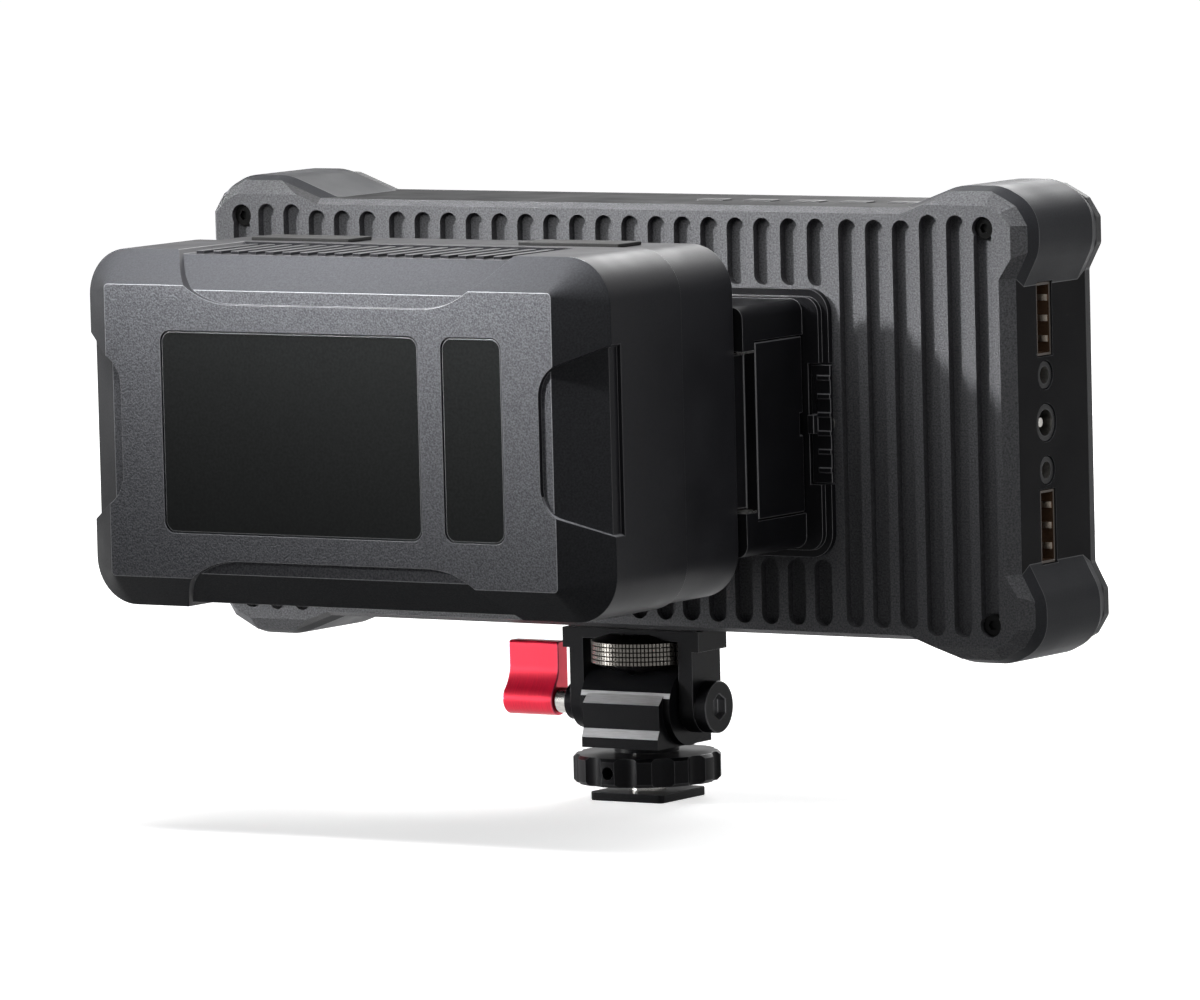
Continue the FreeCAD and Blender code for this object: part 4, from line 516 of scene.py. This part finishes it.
# Near black: the rear shell's own colour, also used as painted shade on the front shell's walls.
pack_black_and_shade = finish("pack_black_and_shade", (0.010, 0.010, 0.012), 0.44, gloss=0.14, grain=0.0004,
                    depth=0.000006)
# A lighter copy for the eased edges: a painted highlight.
pack_dark_edge_highlight = finish("pack_dark_edge_highlight", (0.030, 0.030, 0.033), 0.40, gloss=0.3, grain=0.0004)
eased("battery_rear_shell", 0.0004, pack_black_and_shade, pack_dark_edge_highlight, segments=3)
eased("battery_foot", 0.0003, plate_black, plate_edge)
eased("battery_rests", 0.0002, rubber, rubber)

# Battery front shell. The moulded nose with a bevel all round, a shallow scallop in each edge, grip
# ribs on top, and two sunk windows that hold smooth black panels. One black plastic is coloured by
# where a face lies, as painted light and shade: slate grey on the nose, a darker smoother copy on
# the bevels, near black on the scallop walls and the flanks behind the nose, and a pale colour on
# the edges and on the upward walls of the scallop at the low-X end.

pack_nose_lit_grey = finish("pack_nose_lit_grey", (0.122, 0.124, 0.134), 0.46, gloss=0.05, grain=0.0004,
                    depth=0.00012, fleck=0.34)
pack_nose_edge_highlight = finish("pack_nose_edge_highlight", (0.23, 0.234, 0.25), 0.36, gloss=0.5, grain=0.0004,
                         depth=0.000008)
pack_bevel_satin_shade = finish("pack_bevel_satin_shade", (0.045, 0.046, 0.050), 0.40, gloss=0.015, grain=0.0004,
                    depth=0.00001, fleck=0.15)
front_shell = eased("battery_front_shell", 0.0004, pack_nose_lit_grey, pack_nose_edge_highlight, segments=3)
nose_low, nose_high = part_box("battery_front_shell")
nose_deep = 0.0085
nose_back = nose_high.y - nose_deep
skin_depth = 0.0006
grip_reach = 0.020


def scallop_wall(middle, normal):
    """True for the upright walls of the scallops and windows, inside the shell's outer skin."""
    return (abs(normal.y) < 0.15 and middle.y > nose_back
            and nose_low.x + skin_depth < middle.x < nose_high.x - skin_depth
            and nose_low.z + skin_depth < middle.z < nose_high.z - skin_depth)


# Painted shade on the bevels and recess walls, painted highlight on the low-X scallop's upward
# walls.
mark(front_shell, pack_bevel_satin_shade, lambda middle, normal: 0.15 < normal.y < 0.9 and middle.y > nose_back)
mark(front_shell, pack_black_and_shade, scallop_wall)
mark(front_shell, pack_nose_edge_highlight, lambda middle, normal: scallop_wall(middle, normal)
     and normal.z > 0.3 and middle.x < nose_low.x + grip_reach)
# Painted shade behind the nose: the flanks go near black, their edges a lighter painted highlight.
front_shell.data.materials.append(pack_dark_edge_highlight)
place_of = {material.name: place for place, material in enumerate(front_shell.data.materials)}
for face in front_shell.data.polygons:
    if face.center.y < nose_back:
        on_edge = face.material_index == place_of[pack_nose_edge_highlight.name]
        face.material_index = place_of[(pack_dark_edge_highlight if on_edge else pack_black_and_shade).name]
panel_black = finish("panel_black", (0.017, 0.018, 0.018), 0.40, gloss=0.03, grain=0.0006,
                     depth=0.000002)
# A pale colour for the panels' eased edges: a painted highlight.
panel_rim = finish("panel_rim", (0.24, 0.243, 0.255), 0.30, gloss=0.5, grain=0.0006,
                   depth=0.000002)
eased("label_panel_large", 0.00022, panel_black, panel_rim)
eased("label_panel_narrow", 0.00022, panel_black, panel_rim)

# Studio. A pale floor runs on behind as the white background and keeps the shadow. A gridded key
# lamp and a weak side lamp stand on the lever's side, two strips hang close over the top edges, and
# small lamps fill in. The camera stands behind the monitor on its port side.

bpy.ops.object.select_all(action="DESELECT")
bpy.ops.mesh.primitive_plane_add(size=30, location=(0, 0, 0))
floor = bpy.context.object
floor.name = "floor"
floor_paint = bpy.data.materials.new("floor_paint")
floor_paint.use_nodes = True
nodes = floor_paint.node_tree.nodes
link = floor_paint.node_tree.links.new
nodes.remove(nodes["Principled BSDF"])
matt = nodes.new("ShaderNodeBsdfDiffuse")
matt.inputs["Color"].default_value = (0.85, 0.85, 0.85, 1)


def seen_rays(tree):
    """One where the eye, a reflection or a look through glass meets the backdrop, else zero."""
    path = tree.nodes.new("ShaderNodeLightPath")
    total = path.outputs["Is Camera Ray"]
    for ray in ("Is Glossy Ray", "Is Transmission Ray"):
        either = tree.nodes.new("ShaderNodeMath")
        either.operation = "MAXIMUM"
        tree.links.new(total, either.inputs[0])
        tree.links.new(path.outputs[ray], either.inputs[1])
        total = either.outputs["Value"]
    return total


shade_near, shade_far = 0.12, 0.75
glow_near, glow_far = 0.70, 1.0
spot = nodes.new("ShaderNodeTexCoord")
away = nodes.new("ShaderNodeVectorMath")
away.operation = "LENGTH"
link(spot.outputs["Object"], away.inputs[0])
whiten = nodes.new("ShaderNodeMapRange")
whiten.interpolation_type = "SMOOTHSTEP"
whiten.inputs["From Min"].default_value = shade_near
whiten.inputs["From Max"].default_value = shade_far
whiten.inputs["To Min"].default_value = glow_near
whiten.inputs["To Max"].default_value = glow_far
link(away.outputs["Value"], whiten.inputs["Value"])
glow = nodes.new("ShaderNodeEmission")
link(whiten.outputs["Result"], glow.inputs["Strength"])
both = nodes.new("ShaderNodeAddShader")
link(matt.outputs["BSDF"], both.inputs[0])
link(glow.outputs["Emission"], both.inputs[1])
carpet = nodes.new("ShaderNodeBsdfDiffuse")
carpet.inputs["Color"].default_value = (0.12, 0.12, 0.12, 1)
floor_mix = nodes.new("ShaderNodeMixShader")
link(seen_rays(floor_paint.node_tree), floor_mix.inputs["Fac"])
link(carpet.outputs["BSDF"], floor_mix.inputs[1])
link(both.outputs["Shader"], floor_mix.inputs[2])
link(floor_mix.outputs["Shader"], nodes["Material Output"].inputs["Surface"])
floor.data.materials.append(floor_paint)

world = bpy.data.worlds.new("studio")
bpy.context.scene.world = world
world.use_nodes = True
nodes = world.node_tree.nodes
link = world.node_tree.links.new
room = nodes["Background"]
room.inputs["Color"].default_value = (0.036, 0.036, 0.038, 1)
white = nodes.new("ShaderNodeBackground")
white.inputs["Color"].default_value = (1, 1, 1, 1)
world_mix = nodes.new("ShaderNodeMixShader")
link(seen_rays(world.node_tree), world_mix.inputs["Fac"])
link(room.outputs["Background"], world_mix.inputs[1])
link(white.outputs["Background"], world_mix.inputs[2])
link(world_mix.outputs["Shader"], nodes["World Output"].inputs["Surface"])


def softbox(name, place, aim, width, height, watts, fan=180):
    """A soft lamp that faces a point, with a grid on it where its light is to fan out less."""
    lamp = bpy.data.lights.new(name, "AREA")
    lamp.shape = "RECTANGLE"
    lamp.size = width
    lamp.size_y = height
    lamp.energy = watts
    lamp.spread = math.radians(fan)
    holder = bpy.data.objects.new(name, lamp)
    bpy.context.scene.collection.objects.link(holder)
    holder.location = place
    holder.rotation_euler = (Vector(aim) - Vector(place)).to_track_quat("-Z", "Y").to_euler()
    holder.visible_camera = False


softbox("key_lamp", (0.88, 0.92, 0.70), (0.04, 0.095, 0.165), 0.60, 0.10, 0.36, fan=6)
softbox("side_lamp", (1.00, 0.55, 0.30), (0.0, 0.05, 0.07), 0.40, 0.40, 0.35)
softbox("fill_lamp", (-1.30, 0.50, 0.45), (0.0, 0.05, 0.08), 0.60, 0.60, 2.2)
softbox("top_strip", (0.025, 0.110, 0.165), (0.025, 0.109, 0.0), 0.13, 0.02, 0.21)
softbox("back_strip", (-0.06, 0.040, 0.185), (-0.06, 0.039, 0.0), 0.26, 0.03, 0.095)
softbox("mount_lamp", (0.15, 0.078, 0.030), (0.028, 0.0, 0.018), 0.08, 0.05, 0.020, fan=26)
softbox("sky_lamp", (0.10, 0.05, 1.60), (0.0, 0.03, 0.0), 1.00, 1.00, 7)
softbox("screen_lamp", (0.20, -1.0, 0.60), (0.0, 0.0, 0.08), 0.6, 0.6, 8)

azimuth = math.radians(33)
lift = math.radians(5.22)
roll = math.radians(-1.42)
forward = Vector((math.sin(azimuth) * math.cos(lift), -math.cos(azimuth) * math.cos(lift),
                  -math.sin(lift)))
level_right = Vector((-math.cos(azimuth), -math.sin(azimuth), 0))
level_up = level_right.cross(forward)
right = math.cos(roll) * level_right + math.sin(roll) * level_up
up = math.cos(roll) * level_up - math.sin(roll) * level_right
look_at = Vector((0, 0.012, 0.0829))
aside, below, away_from = 0.0018, 0.0175, 2.3
place = look_at - aside * right - below * up - away_from * forward
camera = bpy.data.objects.new("camera", bpy.data.cameras.new("camera"))
bpy.context.scene.collection.objects.link(camera)
camera.data.sensor_width = 36
camera.data.sensor_fit = "HORIZONTAL"
camera.data.lens = 323.34
camera.data.clip_end = 50
turn = Matrix((right, up, -forward)).transposed().to_4x4()
camera.matrix_world = Matrix.Translation(place) @ turn
bpy.context.scene.camera = camera
bpy.context.scene.view_settings.view_transform = "Standard"
